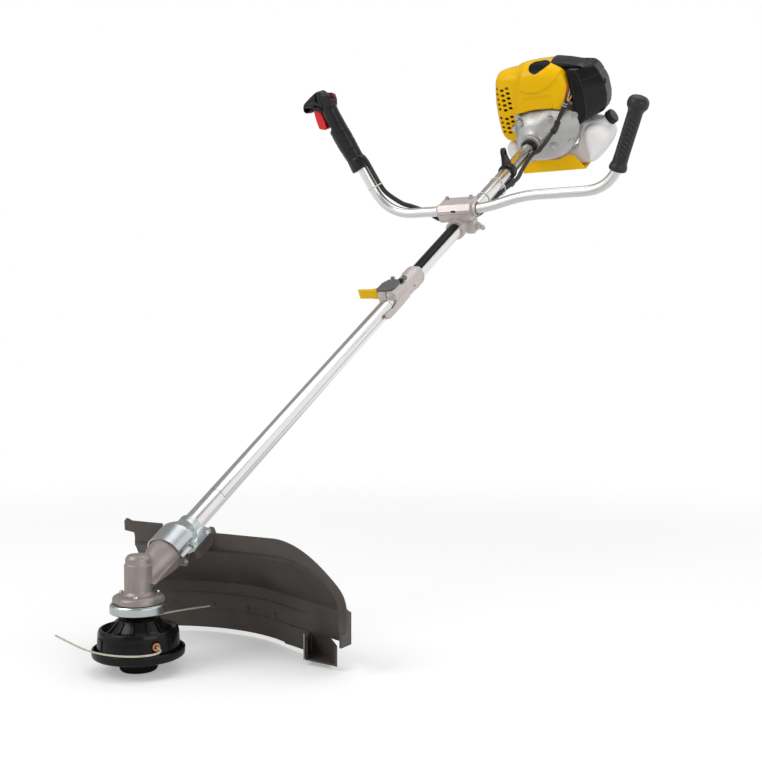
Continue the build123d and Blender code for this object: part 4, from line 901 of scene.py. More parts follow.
@dataclass
class GearHead:
    """Gear case with its ribs and screws, and the stamped saddle that holds the guard, with its bolts."""

    base: float = 86.5
    column: float = 17.6
    neck: float = 24.0
    saddle: float = 26.8
    wing: float = 38.0

    def build(self, bench: Bench) -> None:
        """Makes and dresses the case and the saddle."""
        self._case(bench)
        self._saddle(bench)
        bench.softened("guard_bolts", Finishes.ZINC, 0.5)

    def _case(self, bench: Bench) -> None:
        """The casting: a ribbed column on a three-lobed foot, and the neck that leans out of it to the tube."""
        c, s = leaning(65)
        lobes = Axes(GROUND.origin, (c, s, 0), (-s, c, 0), (0, 0, 1))
        foot = turned("gear_foot", [(0, self.base), (33.4, self.base), (33.4, 92.2), (31.2, 95.4), (24, 97.2), (0, 98)],
                      lobes, 1.4, 144, False, 3.4, 3)
        body = turned("gear_column", [(0, 90), (24, 94.6), (20.4, 97.2), (self.column, 101), (self.column, 132.6),
                                      (17.9, 134.4), (16.4, 135.4), (16.2, 142.4), (13.4, 146.6), (10.6, 147.6),
                                      (8.6, 146.6), (0, 146.2)], reach=1.1, closed=False)
        neck = turned("gear_neck", [(0, 4), (15.5, 4), (16.5, 18), (19.5, 34), (23.2, 52), (self.neck, 60),
                                    (self.neck, 90), (21, 98), (16, 106), (14.4, 118), (12.2, 118), (12.2, 46), (0, 46)],
                       SHAFT, 3, closed=False)
        ribs = []
        for turn in (185, 262, 340):
            c, s = leaning(turn)
            stand = GROUND.moved(16.3 * c, 16.3 * s, 0)
            ribs.append(turned("rib", [(0, 95), (2.5, 95), (2.1, 133.4), (0, 133.8)], stand, 0.5, 24, False))
        seam = resampled(rounded([(-1.4, 4), (1.4, 4), (1.4, 99), (-1.4, 99)], 1, 3), 80, True)
        side = Axes(SHAFT.origin, SHAFT.second, SHAFT.third, SHAFT.first)
        ribs.append(drawn("neck_seam", seam, side, -24.7, 24.7, 0.4, 3))
        for station, rise in ((72, -19.5), (92, -19.5)):
            ribs.append(turned("boss", [(0, 8), (6.2, 8), (5.4, 20.5), (0, 21.2)], side.moved(rise, station, 0), 0.8, 32,
                               False))
        bench.standing(joined("gear_case_body", [foot, body, neck, *ribs]), Finishes.CAST_WARM, "gear_case")
        screws = [hex_bolt("case_screw", lobes.moved(26.4 * c, 26.4 * s, 96.2), 5.4, 2.8, 0.9)
                  for c, s in map(leaning, (0, 120, 240))]
        screws += [hex_bolt("sleeve_screw", side.moved(rise, station, 21), 5, 3, 1.4)
                   for station, rise in ((72, -19.5), (92, -19.5))]
        bench.dress(joined("gear_case_screws", screws), Finishes.ZINC, "gear_case")

    def _saddle(self, bench: Bench) -> None:
        """A stamped saddle: flat wings that sweep up into an arch, which narrows smoothly on to the tube."""
        stations = np.concatenate([np.linspace(60, 90, 18), np.linspace(91, 123, 34)])
        arch = self.saddle - 10.2 * smooth_step(stations, 90, 115)
        wing = np.interp(stations, [60, 66, 72, 77, 115, 119.5, 121.6, 123],
                         [26.9, 29.4, 34, self.wing, self.wing, 35, 28, 22])
        rows = []
        for station, high, reach in zip(stations, arch, wing):
            fold = 4.0
            corner = np.radians(np.linspace(-90, 0, 8))
            bend = np.column_stack([-high - fold + fold * np.cos(corner), -0.4 + fold + fold * np.sin(corner)])
            far = -max(reach, high + fold + 0.2)
            flat = np.column_stack([np.linspace(far, -high - fold - 0.1, 8), np.full(8, -0.4)])
            turn = np.radians(np.linspace(172, 90, 26))
            rise = 3.6 + (high - 3.6) * np.sin(turn)
            over = np.column_stack([high * np.cos(turn), rise])
            half = np.vstack([flat, bend, over])
            whole = np.vstack([half, half[-2::-1] * [-1, 1]])
            rows.append(np.column_stack([whole, np.full(len(whole), station)]))
        grid = np.array(rows)
        skin = surface("saddle_plate", SHAFT.place(grid[..., 0], grid[..., 1], grid[..., 2]), sharp=60)
        bench.standing(edged(walled(skin, 2.2), 0.5, 2, 50), Finishes.ZINC, "guard_bracket")


@dataclass
class Guard:
    """Debris guard: deck, curved wall, front flange, skirt and line cutter."""

    reach: float = 212.0
    wall: float = 2.6

    def build(self, bench: Bench) -> None:
        """Makes and dresses the guard's pieces."""
        f = Finishes
        bench.softened("guard", f.GUARD, 0.6, 2)
        bench.softened("guard_skirt", f.GUARD, 0.4, 2)
        bench.softened("line_cutter", f.BLADE, 0.3)
        self._trim(bench)

    def _wall(self, side: Points, inset: float) -> Points:
        """Inner face of the wall at each side position: an arc about the spool, then a straight run."""
        arc = np.sqrt(np.maximum(self.reach**2 - np.minimum(side, 106) ** 2, 0))
        return np.where(side < 106, arc, 183.6 - (side - 106) * 0.4) - self.wall - inset

    def _trim(self, bench: Bench) -> None:
        """Seam bead where the skirt meets the wall, a ridge above it and the screws that hold the skirt."""
        side = np.linspace(-128, 150, 120)
        for name, rise, radius, start, end in (("skirt_seam", 33.0, 1.0, 0, 104), ("wall_ridge", 56.0, 1.2, 12, 120)):
            bead = MM * np.column_stack([side, self._wall(side, 0.1), np.full(120, rise)])[start:end]
            bench.dress(swept(name, bead, np.array([0.0, 0.0, 1.0]), circle(radius * MM, 12)), Finishes.GUARD, "guard")
        screws = []
        for at in (-96.0, -40.0, 18.0, 74.0):
            rise = 40.0
            way = np.array([at, math.sqrt(self.reach**2 - at**2), 0]) / self.reach
            stand = Axes(tuple(MM * np.array([at, float(self._wall(np.array(at), 0.0)), rise])),
                         (-way[1], way[0], 0), (0, 0, 1), tuple(-way))
            screws.append(hex_bolt("skirt_screw", stand, 4.6, 2.2, 1.2))
        bench.dress(joined("skirt_screws", screws), Finishes.GUARD, "guard")


@dataclass
class Shaft:
    """Both tubes, what runs inside them, the plain bands on them and the split-shaft coupler."""

    radius: float = 14.0
    bore: float = 12.5
    split: float = 806.0

    def build(self, bench: Bench) -> None:
        """Makes and dresses the shaft."""
        f = Finishes
        for name, start, end in (("lower_tube", 52.0, self.split), ("upper_tube", 806.3, 1518.0)):
            tube = turned(f"{name}_wall", [(self.bore, start), (self.radius, start), (self.radius, end),
                                           (self.bore, end)], SHAFT, reach=0.4)
            bench.standing(tube, f.TUBE, name)
        bench.plain(f.STEEL, "lower_drive_shaft", "upper_drive_shaft")
        bench.plain(f.RUBBER, "shaft_bushings")
        band = rounded([(35, 876), (150, 876), (150, 1062), (35, 1062)], 3, 6)
        middle = np.array([92.5, 969.0])
        rows = middle + (band - middle) * np.linspace(0, 1, 24)[:, None, None]
        bench.dress(self._wrapped("plain_band", resampled_rows(rows, 200), 0.07), f.PRINT, "upper_tube")
        frame = resampled(rounded([(2, 186), (150, 186), (150, 742), (2, 742)], 4, 6), 900, True)
        line = np.stack([frame, middle_pull(frame, 2.8, 0.7)])
        bench.dress(self._wrapped("thin_frame", line, 0.05), f.PINSTRIPE, "lower_tube")
        self._coupler(bench)

    def _wrapped(self, name: str, grid: Points, proud: float) -> bpy.types.Object:
        """Lays (bearing in degrees, station) points on the tube, a little proud of it."""
        turn = np.radians(grid[..., 0])
        reach = self.radius + proud
        return surface(name, SHAFT.place(reach * np.cos(turn), reach * np.sin(turn), grid[..., 1]), wrap_v=True)

    def _coupler(self, bench: Bench) -> None:
        """The coupler's casting, cap, lever and pin, with its screws."""
        f = Finishes
        bench.softened("shaft_coupler", f.CAST_PALE, 1.4, 3)
        bench.softened("coupler_cover", f.GREY, 1.2, 3)
        bench.softened("coupler_lever", f.LEVER, 1.2, 3)
        bench.softened("lock_pin", f.BLACK, 0.8)
        screws = [hex_bolt("coupler_screw", SHAFT.moved(side, rise, station), 7.0, 4.2, 1.2)
                  for side, rise, station in ((-14, 21.6, 812), (9, 21.6, 814))]
        bench.dress(joined("coupler_screws", screws), f.ZINC, "shaft_coupler")


@dataclass
class Handlebar:
    """Bull handlebar, its clamp, the throttle grip with its trigger and switch, and the right grip."""

    radius: float = 10.0
    bore: float = 8.6
    left_end: float = 206.0
    right_end: float = 168.0

    def build(self, bench: Bench) -> None:
        """Makes and dresses the handlebar's pieces."""
        f = Finishes
        self._bar(bench)
        bench.softened("handle_clamp_base", f.CAST_PALE, 1.0, 3)
        bench.softened("handle_clamp_cap", f.CAST_PALE, 1.6, 3)
        bench.softened("handle_clamp_bolts", f.STEEL, 0.5)
        self._clamp_trim(bench)
        self._throttle(bench)
        self._right(bench)

    def _bar(self, bench: Bench) -> None:
        """The bar: a ring carried along a line whose corners are quadratic arcs."""
        ends = [THROTTLE.place(0, self.left_end, 0), *BAR.place([-157, 56, 140, 312], [0, 0, 19.9, 19.5], 0),
                RIGHT.place(0, self.right_end, 0)]
        corners = np.array(ends)
        spread = [0.058, 0.036, 0.036, 0.052]
        runs = []
        for k, reach in enumerate(spread, start=1):
            runs.append(rounded(corners[k - 1:k + 2], reach, 16, False)[1:-1])
        line = resampled(np.vstack([corners[:1], *runs, corners[-1:]]), 260)
        for name, radius in (("handlebar_tube", self.radius), ("handlebar_bore", self.bore)):
            wall = swept(name, line, np.array(BAR.third), circle(radius * MM, 48), capped=False)
            if radius == self.radius:
                bench.standing(wall, Finishes.BAR, "handlebar")
            else:
                bench.dress(wall, Finishes.BAR, "handlebar")

    def _clamp_trim(self, bench: Bench) -> None:
        """Collar round each side of the clamp, a dark slab of painted shade for the slot on its front, and the wing nut
        under it.
        """
        for name, start, end, radius in (("clamp_collar_left", -42, -33, 13.6), ("clamp_collar_right", 33.5, 42, 14.6)):
            ring = turned(name, [(10.1, start), (radius - 1, start), (radius, start + 2), (radius, end - 2),
                                 (radius - 1, end), (10.1, end)], self.across_bar(), 0.8, 64)
            bench.dress(ring, Finishes.CAST_PALE, "handle_clamp_cap")
        # painted shade: a dark slab stands for the shadow inside the clamp's slot
        slot = drawn("clamp_slot_shade", resampled(rounded([(-5, 33), (5, 33), (5, 37), (-5, 37)], 1.2), 40, True),
                     SHAFT, 1069.6, 1071.4, 0.4, 3)
        bench.dress(slot, Finishes.DARK_STEEL_AND_SLOT_SHADE, "handle_clamp_cap")
        nut = SHAFT.moved(31, -10, 1098)
        wings = [turned("wing_nut_hub", [(0, -7), (6, -7), (6.6, 5), (0, 6)], facing(nut), 1.0, 40, False)]
        for hand in (-1, 1):
            ear = rounded([(hand * 3, -4), (hand * 9, -9), (hand * 15, -8), (hand * 15, 0), (hand * 7, 5)], 3, 5)
            wings.append(drawn("wing", resampled(ear, 60, True), nut, -2, 2.4, 0.9, 4))
        bench.dress(joined("wing_nut", wings), Finishes.ZINC, "handle_clamp_base")

    @staticmethod
    def across_bar() -> Axes:
        """Frame whose third direction runs along the bar through the clamp."""
        return Axes(BAR.origin, BAR.second, BAR.third, BAR.first)

    def _throttle(self, bench: Bench) -> None:
        """The throttle grip: an oval neck with three shallow seams that grows into the trigger head."""
        count = 96
        around = np.linspace(0, TURN, count, endpoint=False)
        rows = [(105.6, 1, 12, 12), (105.6, 1, 19, 16.4), (107, 1, 21, 18), (112, 1, 21.4, 18.2), (124, 1.4, 20, 17.4),
                (133, 3, 18.4, 16), (150, 3.6, 19.2, 16.6), (166, 4, 20, 17), (182, 4, 20, 17), (198, 4, 19.4, 17),
                (214, 3, 18.4, 16.4), (228, 2, 17.6, 16), (240, 1, 17.6, 15.4), (250, 0, 15, 13), (253, 0, 8, 8)]
        grid = np.array([np.column_stack([mid + wide * np.cos(around) * (1 - 0.06 * np.sin(around) ** 2),
                                          np.full(count, along), deep * np.sin(around)])
                         for along, mid, wide, deep in rows])
        skin = smoothed(grid, 170)
        seam = sum(bump(skin[..., 1], at, 0.9) for at in (131, 151, 171, 191))
        middle = skin.mean(1, keepdims=True)
        pinch = 1 - 0.045 * seam[..., None] * [1, 0, 1]
        skin = middle + (skin - middle) * pinch
        grip = surface("throttle_neck", THROTTLE.place(*np.moveaxis(skin, -1, 0)), wrap_v=True, capped=True, sharp=50)
        slot = rounded([(9.5, 202), (13, 247), (24, 258), (34, 258), (46, 240), (46, 198), (24, 197)], 2, 3)
        pierced(grip, [drawn("trigger_slot", slot, THROTTLE, -7.6, 20, 0.2, 2)])
        bench.standing(grip, Finishes.BLACK, "throttle_grip")
        shell = rounded([(-13, 238), (-19, 246), (-22.6, 254), (-20, 266), (-9, 270), (-5, 279.5), (3, 281.5),
                         (22, 279), (42, 275), (48.5, 267), (45, 257), (34, 251), (20, 258), (9, 248), (8, 238)], 5, 6)
        head = drawn("throttle_head", resampled(shell, 220, True), THROTTLE, -14, 14, 5, 6)
        pocket = rounded([(-40, 253.2), (-14, 253.2), (-14, 267.4), (-40, 267.4)], 0.5, 2)
        notch = rounded([(-3, 286), (2, 286), (14, 266), (9.5, 264)], 1, 3)
        pierced(head, [drawn("switch_pocket", pocket, THROTTLE, -4.5, 4.5, 0.2, 2),
                       drawn("head_notch", notch, THROTTLE, 9, 20, 0.2, 2)])
        bench.dress(head, Finishes.BLACK, "throttle_grip")
        cheek = rounded([(10, 244), (24, 262), (40, 270), (47, 264), (44, 256), (33, 252.6), (24, 258.4), (12, 248)],
                        3, 5)
        bench.dress(drawn("throttle_cheek", resampled(cheek, 120, True), THROTTLE, 10, 17, 3, 5), Finishes.BLACK,
                    "throttle_grip")
        blade = rounded([(29, 251.5), (22, 253), (15.4, 246), (16, 232), (20.6, 210), (26, 208.2), (37.6, 217),
                         (34.6, 234)], 3, 6)
        bench.standing(drawn("trigger_blade", resampled(blade, 140, True), THROTTLE, -7, 11.6, 3, 6), Finishes.RED,
                       "throttle_trigger")
        bench.softened("stop_switch", Finishes.DARK_RED, 1.0, 3)

    def _right(self, bench: Bench) -> None:
        """Right grip: a lathe shape with flared ends and a domed knob, with slanting grooves on its front half."""
        profile = rounded([(10.2, 37), (15.4, 37), (16.8, 40), (16.2, 46), (13.9, 51), (13.5, 70), (13.6, 100),
                           (13.8, 128), (13.6, 146), (15.4, 151), (18.8, 155.5), (19.6, 161), (18.8, 168),
                           (14.5, 173.4), (7, 175.6), (0, 176)], 2.6, 5, False)
        rows = resampled(profile, 420)
        count = 144
        around = np.linspace(0, TURN, count, endpoint=False)
        radius, along = rows[:, :1], rows[:, 1:]
        front = smooth_step(np.sin(around), 0.1, 0.5)
        span = smooth_step(along, 62, 66) * (1 - smooth_step(along, 134, 138))
        phase = (along - 9 * around / 1.2) / 8.6
        groove = np.exp(-((phase - np.round(phase)) * 8.6 / 1.5) ** 2)
        radius = radius - 1.3 * groove * front * span
        grid = RIGHT.place(radius * np.cos(around), along + 0 * around, radius * np.sin(around))
        bench.standing(surface("right_grip_body", grid, wrap_v=True, sharp=60), Finishes.RUBBER, "right_grip")


@dataclass
class Wiring:
    """Loom along the bar and the shaft with its connector and ties, the wires at its end, and the hanger."""

    radius: float = 4.6
    side: tuple[float, float, float] = (0.2, 0.5, 0.84)
    samples: int = 24
    spacing: float = 0.0016

    def build(self, bench: Bench) -> None:
        """Makes and dresses the looms, the wires and what holds them."""
        f = Finishes
        bench.softened("harness_hanger", f.BLACK, 1.4, 3)
        bar = [*THROTTLE.place([-15.6, -15.6, -15.8, -19], [106, 86, 60, 38], [-3, -3, -4, -6]),
               *BAR.place([-126, -106, -86, -68, -55, -43], [20, 11, 1, -8.5, -15.5, -19.4],
                          [-8.6, -12.2, -16.2, -15.6, -12.6, -11])]
        shaft = SHAFT.place([-34.6, -32, -27, -20, -9, 0, 1, 3, 9, 17, 21, 19.6, 18.6, 19.4, 25.6, 27.6, 35, 44,
                             53, 64, 77, 86],
                            [5.6, 4, -2, -10, -18, -20, -20, -20, -18.4, -16.4, -15, -11.6, -7, -4, -6, -3, 4, 15,
                             25, 46, 67, 81],
                            [1104, 1112, 1128, 1146, 1168, 1192, 1232, 1272, 1306, 1332, 1357, 1384, 1424, 1462,
                             1486, 1500, 1512, 1523, 1537, 1545, 1548, 1548])
        bench.standing(self._sleeve("bar_loom_sleeve", np.array(bar)), f.LOOM, "bar_loom")
        bench.standing(self._sleeve("shaft_loom_sleeve", shaft), f.LOOM, "shaft_loom")
        link = self._sleeve("loom_link", np.array([*bar[-3:], *shaft[:3]]), slice(26, 118))
        bench.paint(link, f.LOOM, "shaft_loom")
        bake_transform(link)
        self._trim(bench, shaft)

    def _trim(self, bench: Bench, shaft: Points) -> None:
        """Connector, ties and the bare wires between the loom's end and the engine."""
        f = Finishes
        line = smoothed(shaft[:, None, :], 600)[:, 0]
        side = np.array(self.side)
        for name, start, end, radius, finish in (("loom_connector", 498, 534, 7.4, f.RUBBER),
                                                 ("loom_tie_low", 576, 579, 5.5, f.WHITE_TIE),
                                                 ("loom_tie_high", 585, 588, 5.5, f.WHITE_TIE)):
            bench.dress(swept(name, line[start:end], side, circle(radius * MM, 32)), finish, "shaft_loom")
        loop = rounded([(-21.6, -8), (-21.6, 2), (-12, 10.6), (4, 10.8), (10.8, 4), (10.8, -5), (3, -10.8), (-14, -9)],
                       5, 6)
        plane = Axes(THROTTLE.origin, THROTTLE.first, THROTTLE.third, THROTTLE.second)
        bench.dress(drawn("bar_tie", resampled(loop, 90, True), plane, 60, 62.6, 0.5, 3), f.WHITE_TIE, "bar_loom")
        wires = (("wire_red", f.WIRE_RED, (2, 3), (8, 30), (12, 46)),
                 ("wire_dark", f.WIRE_DARK, (-2, 2), (4, 22), (10, 50)),
                 ("wire_pale", f.WHITE_TIE, (1, -2), (7, 14), (14, 40)),
                 ("wire_yellow", f.WIRE_YELLOW, (3, 0), (11, 8), (16, 34)),
                 ("wire_low", f.WIRE_DARK, (2, -8), (9, -16), (15, 12)))
        for name, finish, *steps in wires:
            route = SHAFT.place([84, *(84 + a for a, _ in steps)], [79, *(79 + b for _, b in steps)],
                                [1548, 1550, 1556, 1580])
            strand = smoothed(route[:, None, :], 60)[:, 0]
            bench.dress(swept(name, strand, side, circle(1.3 * MM, 16)), finish, "shaft_loom")
        bench.softened("cable_ties", f.WHITE_TIE, 0.3)

    def _sleeve(self, name: str, route: Points, part: slice = slice(None)) -> bpy.types.Object:
        """A round sleeve carried along a part of a smoothed route."""
        line = smoothed(route[:, None, :], self.samples * len(route))[part, 0]
        length = np.linalg.norm(np.diff(line, axis=0), axis=1).sum()
        line = resampled(line, max(12, int(length / self.spacing)))
        return swept(name, line, np.array(self.side), circle(self.radius * MM, 24))


@dataclass
class TopCover:
    """Yellow hood: a domed front with a sunk panel, a wing set back at its left, vents and a bare badge."""

    front: float = 1541.0
    back: float = 1655.0
    wing_step: float = 13.0
    edge: float = 20.0
    wall: float = 2.4
    rows: int = 44
    columns: int = 230

    def depth(self, side: Points, rise: Points) -> Points:
        """Station of the front face: a shallow bowl, plus a step back beyond the crease, a slope above the
        shoulder and a sunk panel, each faded in with a smooth step."""
        crease = (side + 36) - (rise - 65) * 0.25
        bowl = 9 * ((side - 26) / 62) ** 2 * smooth_step(side, 10, 60) + 4 * ((rise - 95) / 60) ** 2
        wing = self.wing_step * (1 - smooth_step(crease, -7, 9))
        slope = 0.011 * np.maximum(0, rise - 134) ** 2
        shoulder = 1 - smooth_step(rise - 108 - 24 * ((side - 16) / 52) ** 2, -5, 3)
        panel = smooth_step(side, -16, -9) * (1 - smooth_step(side, 48, 55)) * (1 - smooth_step(rise, 92, 100))
        return self.front + bowl + wing + slope + 4.5 * shoulder * smooth_step(crease, 2, 12) + 2.8 * panel

    def shell(self) -> Points:
        """Grid of (side, rise, station): rows go from the arch over the clutch case to the silhouette and then
        back along the sides; the front's rim is a quarter ellipse of the edge's depth."""
        rim = resampled(rounded([(-47, -7), (-80, -7), (-89, 6), (-91, 22), (-90, 51), (-88, 88), (-85, 112),
                                 (-80, 141), (-71, 154), (-52, 157.5), (-31, 157.5), (-24, 162.5), (-12, 167),
                                 (8, 169), (36, 169), (52, 164), (68, 156), (82, 146), (91, 128), (93.6, 108),
                                 (89, 90), (81, 77), (70, 60)], 7, 5, False), self.columns)
        arch = [(-45, 0), (-45, 30), (-44, 57), (-36, 63), (10, 68), (50, 66), (66, 62), (70, 60)]
        share = np.array([0.0, 0.11, 0.22, 0.30, 0.52, 0.74, 0.90, 1.0])
        at = np.linspace(0, 1, self.columns)
        inner = np.stack([np.interp(at, share, [p[k] for p in arch]) for k in (0, 1)], axis=1)
        s = np.linspace(0, 1, self.rows)[:, None, None] ** 0.85
        face = inner + (rim - inner) * s
        fade = np.clip((s[..., 0] - 0.72) / 0.28, 0, 1)
        station = self.depth(face[..., 0], face[..., 1]) + self.edge * (1 - np.sqrt(1 - fade**2))
        front = np.dstack([face, station])
        run = np.linspace(0, 1, 14)[1:, None]
        sides = station[-1] + (self.back - station[-1]) * run
        draw = 1 - 0.03 * smooth_step(sides, 1612, 1655)
        fall = 1 - 0.16 * np.clip((sides - 1586) / 69, 0, 1) ** 1.2
        wall = np.dstack([rim[None, :, 0] * draw, 70 + (rim[None, :, 1] - 70) * np.minimum(draw, fall), sides])
        return np.concatenate([front, wall])

    def build(self, bench: Bench) -> None:
        """Makes the hood with its wall and vents, and the badge laid on it."""
        grid = self.shell()
        hood = surface("top_cover_hood", SHAFT.place(grid[..., 0], grid[..., 1], grid[..., 2]), sharp=50)
        badge = self._badge(grid)
        hood = walled(hood, self.wall)
        pierced(hood, [self._vents()])
        bench.standing(hood, Finishes.YELLOW, "top_cover")
        bench.dress(badge, Finishes.PRINT, "top_cover")

    def _vents(self) -> bpy.types.Object:
        """Two staggered groups of oval prisms, as one object."""
        places = [(-77 + c * 13.0 + lean, base + r * 11.4 - (c % 2) * 3.6, 5.0 if c else 3.4)
                  for base, lean in ((76, 1.0), (21, -1.0)) for c in range(3) for r in range(5 if base > 50 else 4)]
        around = np.linspace(0, TURN, 20, endpoint=False)
        ovals = []
        for side, rise, wide in places:
            outline = np.column_stack([side + wide * np.cos(around), rise + 3.3 * np.sin(around)])
            rows = [np.column_stack([outline, np.full(len(outline), z)]) for z in (1530.0, 1590.0)]
            ovals.append(lofted("vent", np.array(rows)))
        return joined("vents", ovals)

    def _badge(self, grid: Points) -> bpy.types.Object:
        """A bare shield-shaped plate above the shoulder: each point takes the bell-weighted mean station of the
        front face around it, less the plate's thickness."""
        corners = rounded([(8, 164), (20, 168), (46, 168), (58, 162), (40, 154.5), (25, 147.5), (12, 153)], 5, 6)
        outline = resampled(corners, 72, True)
        face = np.array([31.0, 157.0]) + (outline - [31.0, 157.0]) * np.linspace(0, 1, 12)[:, None, None]
        front = grid[: self.rows].reshape(-1, 3)
        near = np.exp(-((face[..., None, :] - front[:, :2]) ** 2).sum(-1) / 4)
        station = (near * front[:, 2]).sum(-1) / near.sum(-1)
        plate = surface("cover_badge", SHAFT.place(face[..., 0], face[..., 1], station - 0.9), wrap_v=True)
        return walled(plate, 0.8)


@dataclass
class AirCleaner:
    """Black air cleaner cover with its knob hole and step lines, and the duct over the hood."""

    front: float = 1556.0
    back: float = 1640.0
    narrow: float = 0.46
    edge: float = 3.5

    def build(self, bench: Bench) -> None:
        """Makes the cover, the duct and the intake boot between it and the hood."""
        outline = rounded([(96, 74), (98, 105), (94, 128), (87, 141), (103, 147), (135, 142.5), (145, 134), (153.5, 117),
                           (159.5, 98), (161, 66), (157, 47), (149, 34), (128, 25), (106, 18), (99, 40)], 4, 5)
        outline = resampled(outline, 240, True)
        cover = self._body(outline)
        knob = rod_between("knob_hole", SHAFT.place(146, 98, 1606), SHAFT.place(175, 98, 1606), 6.5)
        vent = rod_between("bottom_vent", SHAFT.place(122, 30, 1571), SHAFT.place(126, 12, 1571), 6.5)
        pierced(cover, [knob, vent])
        bench.standing(cover, Finishes.BLACK_GLOSS, "air_cleaner_cover")
        duct = rounded([(43, 150), (45, 160), (54, 163.5), (86, 157), (114, 149), (129, 141), (96, 132), (80, 138)],
                       5, 6)
        bench.dress(drawn("air_duct", resampled(duct, 120, True), SHAFT, 1572, 1630, 6, 6), Finishes.BLACK_GLOSS,
                    "air_cleaner_cover")
        boot = rounded([(78, 66), (78, 118), (84, 128), (98, 126), (98, 60)], 6, 5)
        bench.dress(drawn("intake_boot", resampled(boot, 90, True), SHAFT, 1584, 1632, 4, 5), Finishes.RUBBER,
                    "carburettor")

    def _body(self, outline: Points) -> bpy.types.Object:
        """The cover's skin: the outline's distance from its left edge grows evenly with the station, its edges
        are quarter circles, and three grooves are bells in the rise."""
        corner = np.linspace(0, math.pi / 2, 6)
        run = np.linspace(0, 1, 26)[1:-1]
        level = np.concatenate([self.front + self.edge * (1 - np.cos(corner)),
                                self.front + self.edge + (self.back - self.front - 2 * self.edge) * run,
                                self.back - self.edge * (1 - np.cos(corner[::-1]))])
        inward = np.concatenate([self.edge * (1 - np.sin(corner)), np.zeros(len(run)),
                                 self.edge * (1 - np.sin(corner[::-1]))])
        wide = self.narrow + (1 - self.narrow) * np.clip((level - self.front - 3) / 40, 0, 1)
        rows = []
        for z, d, k in zip(level, inward, wide):
            skin = shrunk(outline, d)
            skin = shrunk(skin, 1.6 * bump(skin[:, 1], 116, 2.2) + 0.9 * bump(skin[:, 1], 63, 1.2)
                          + 0.9 * bump(skin[:, 1], 50, 1.2))
            rows.append(np.column_stack([94 + (skin[:, 0] - 94) * k, skin[:, 1], np.full(len(skin), z)]))
        return lofted("air_cleaner_body", np.array(rows), sharp=50)


@dataclass
class ClutchHousing:
    """Cast housing that flares from the neck into the fan case, with its rib, lugs and bolts."""

    neck: float = 1500.0
    case: float = 1557.0
    end: float = 1590.0

    def build(self, bench: Bench) -> None:
        """Makes the flared shell, the fan case and the bolts."""
        count = 192
        around = np.linspace(0, TURN, count, endpoint=False)
        case = rounded([(104, 20), (100, 46), (90, 56), (60, 62), (12, 65), (-30, 62), (-43, 54), (-47, 36),
                        (-47, -4), (-38, -30), (-20, -46), (4, -52), (27, -54), (50, -49), (68, -38), (86, -18)], 8, 6)
        radius = self._reach(case, around)
        rows = [(21.0, self.neck + 0.2, 0.0), (21.6, 1507, 0.0), (21.8, 1515, 0.0), (23.2, 1519, 0.0),
                (26, 1522, 0.02), (31, 1525.4, 0.06), (36.5, 1529, 0.14), (41.5, 1534, 0.27), (45, 1540, 0.45),
                (47, 1546, 0.66), (48, 1551, 0.83), (49, 1554.6, 0.95), (50, 1557.5, 1.0), (50, 1572, 1.0),
                (50, self.end, 1.0)]
        grid = []
        for plain, station, share in rows:
            reach = plain + (radius - plain) * share
            grid.append(np.column_stack([reach * np.cos(around), reach * np.sin(around), np.full(count, station)]))
        skin = smoothed(np.array(grid), 60)
        inner = np.array([np.column_stack([53 * np.cos(around), 53 * np.sin(around), np.full(count, z)])
                          for z in (self.end, 1562.0)] +
                         [np.column_stack([r * np.cos(around), r * np.sin(around), np.full(count, z)])
                          for r, z in ((45, 1556.0), (40, 1536.0), (14.2, 1534.0), (14.2, self.neck + 0.2))])
        closed = SHAFT.place(*np.moveaxis(np.concatenate([skin, inner]), -1, 0))
        bench.standing(surface("clutch_housing_shell", closed, True, True, sharp=45), Finishes.CAST,
                       "clutch_housing")
        self._fittings(bench)

    @staticmethod
    def _reach(outline: Points, around: Points) -> Points:
        """Distance from the axis to the outline in each direction, read off its corners' bearings."""
        bearing = np.unwrap(np.arctan2(outline[:, 1], outline[:, 0]))
        order = np.argsort(bearing % TURN)
        return np.interp(around, (bearing % TURN)[order], np.hypot(*outline.T)[order], period=TURN)

    def _fittings(self, bench: Bench) -> None:
        """Bolts round the case with their lugs, a rib on the case's face and the black band at the neck."""
        bolts, lugs = [], []
        for side, rise, station in ((-35, 55, 1547), (-26, 45.4, 1529), (-45, 30, 1542), (43, 45.5, 1537),
                                    (97, 45, 1551), (46, -12, 1526), (-30, -28, 1546), (80, -12, 1548)):
            seat = facing(SHAFT.moved(side, rise, station))
            bolts.append(hex_bolt("case_bolt", seat, 7.5, 4.6, 1.8))
            lugs.append(turned("lug", [(0, -16), (8.4, -16), (7.2, -0.6), (6.4, 0), (0, 0)], seat, 0.8, 32, False))
        bench.dress(joined("case_bolts", bolts), Finishes.ZINC, "clutch_housing")
        bench.dress(joined("case_lugs", lugs), Finishes.CAST, "clutch_housing")
        turn = np.radians(np.linspace(48, -46, 60))
        rib = SHAFT.place(6 + 76 * np.cos(turn), -4 + 50 * np.sin(turn), np.full(60, 1555.8))
        bench.dress(swept("case_rib", rib, np.array(SHAFT.third), circle(0.0012, 10)), Finishes.CAST,
                    "clutch_housing")
        band = turned("neck_band", [(14.05, 1489), (16.8, 1489), (18.2, 1491), (18.2, 1499.9), (14.05, 1499.9)], SHAFT)
        bench.standing(band, Finishes.BLACK, "neck_ring")
        clip = turned("neck_clip", [(21.9, 1502.5), (23.1, 1502.5), (23.1, 1505), (21.9, 1505)], SHAFT, 0.3)
        bench.dress(clip, Finishes.WHITE_TIE, "clutch_housing")


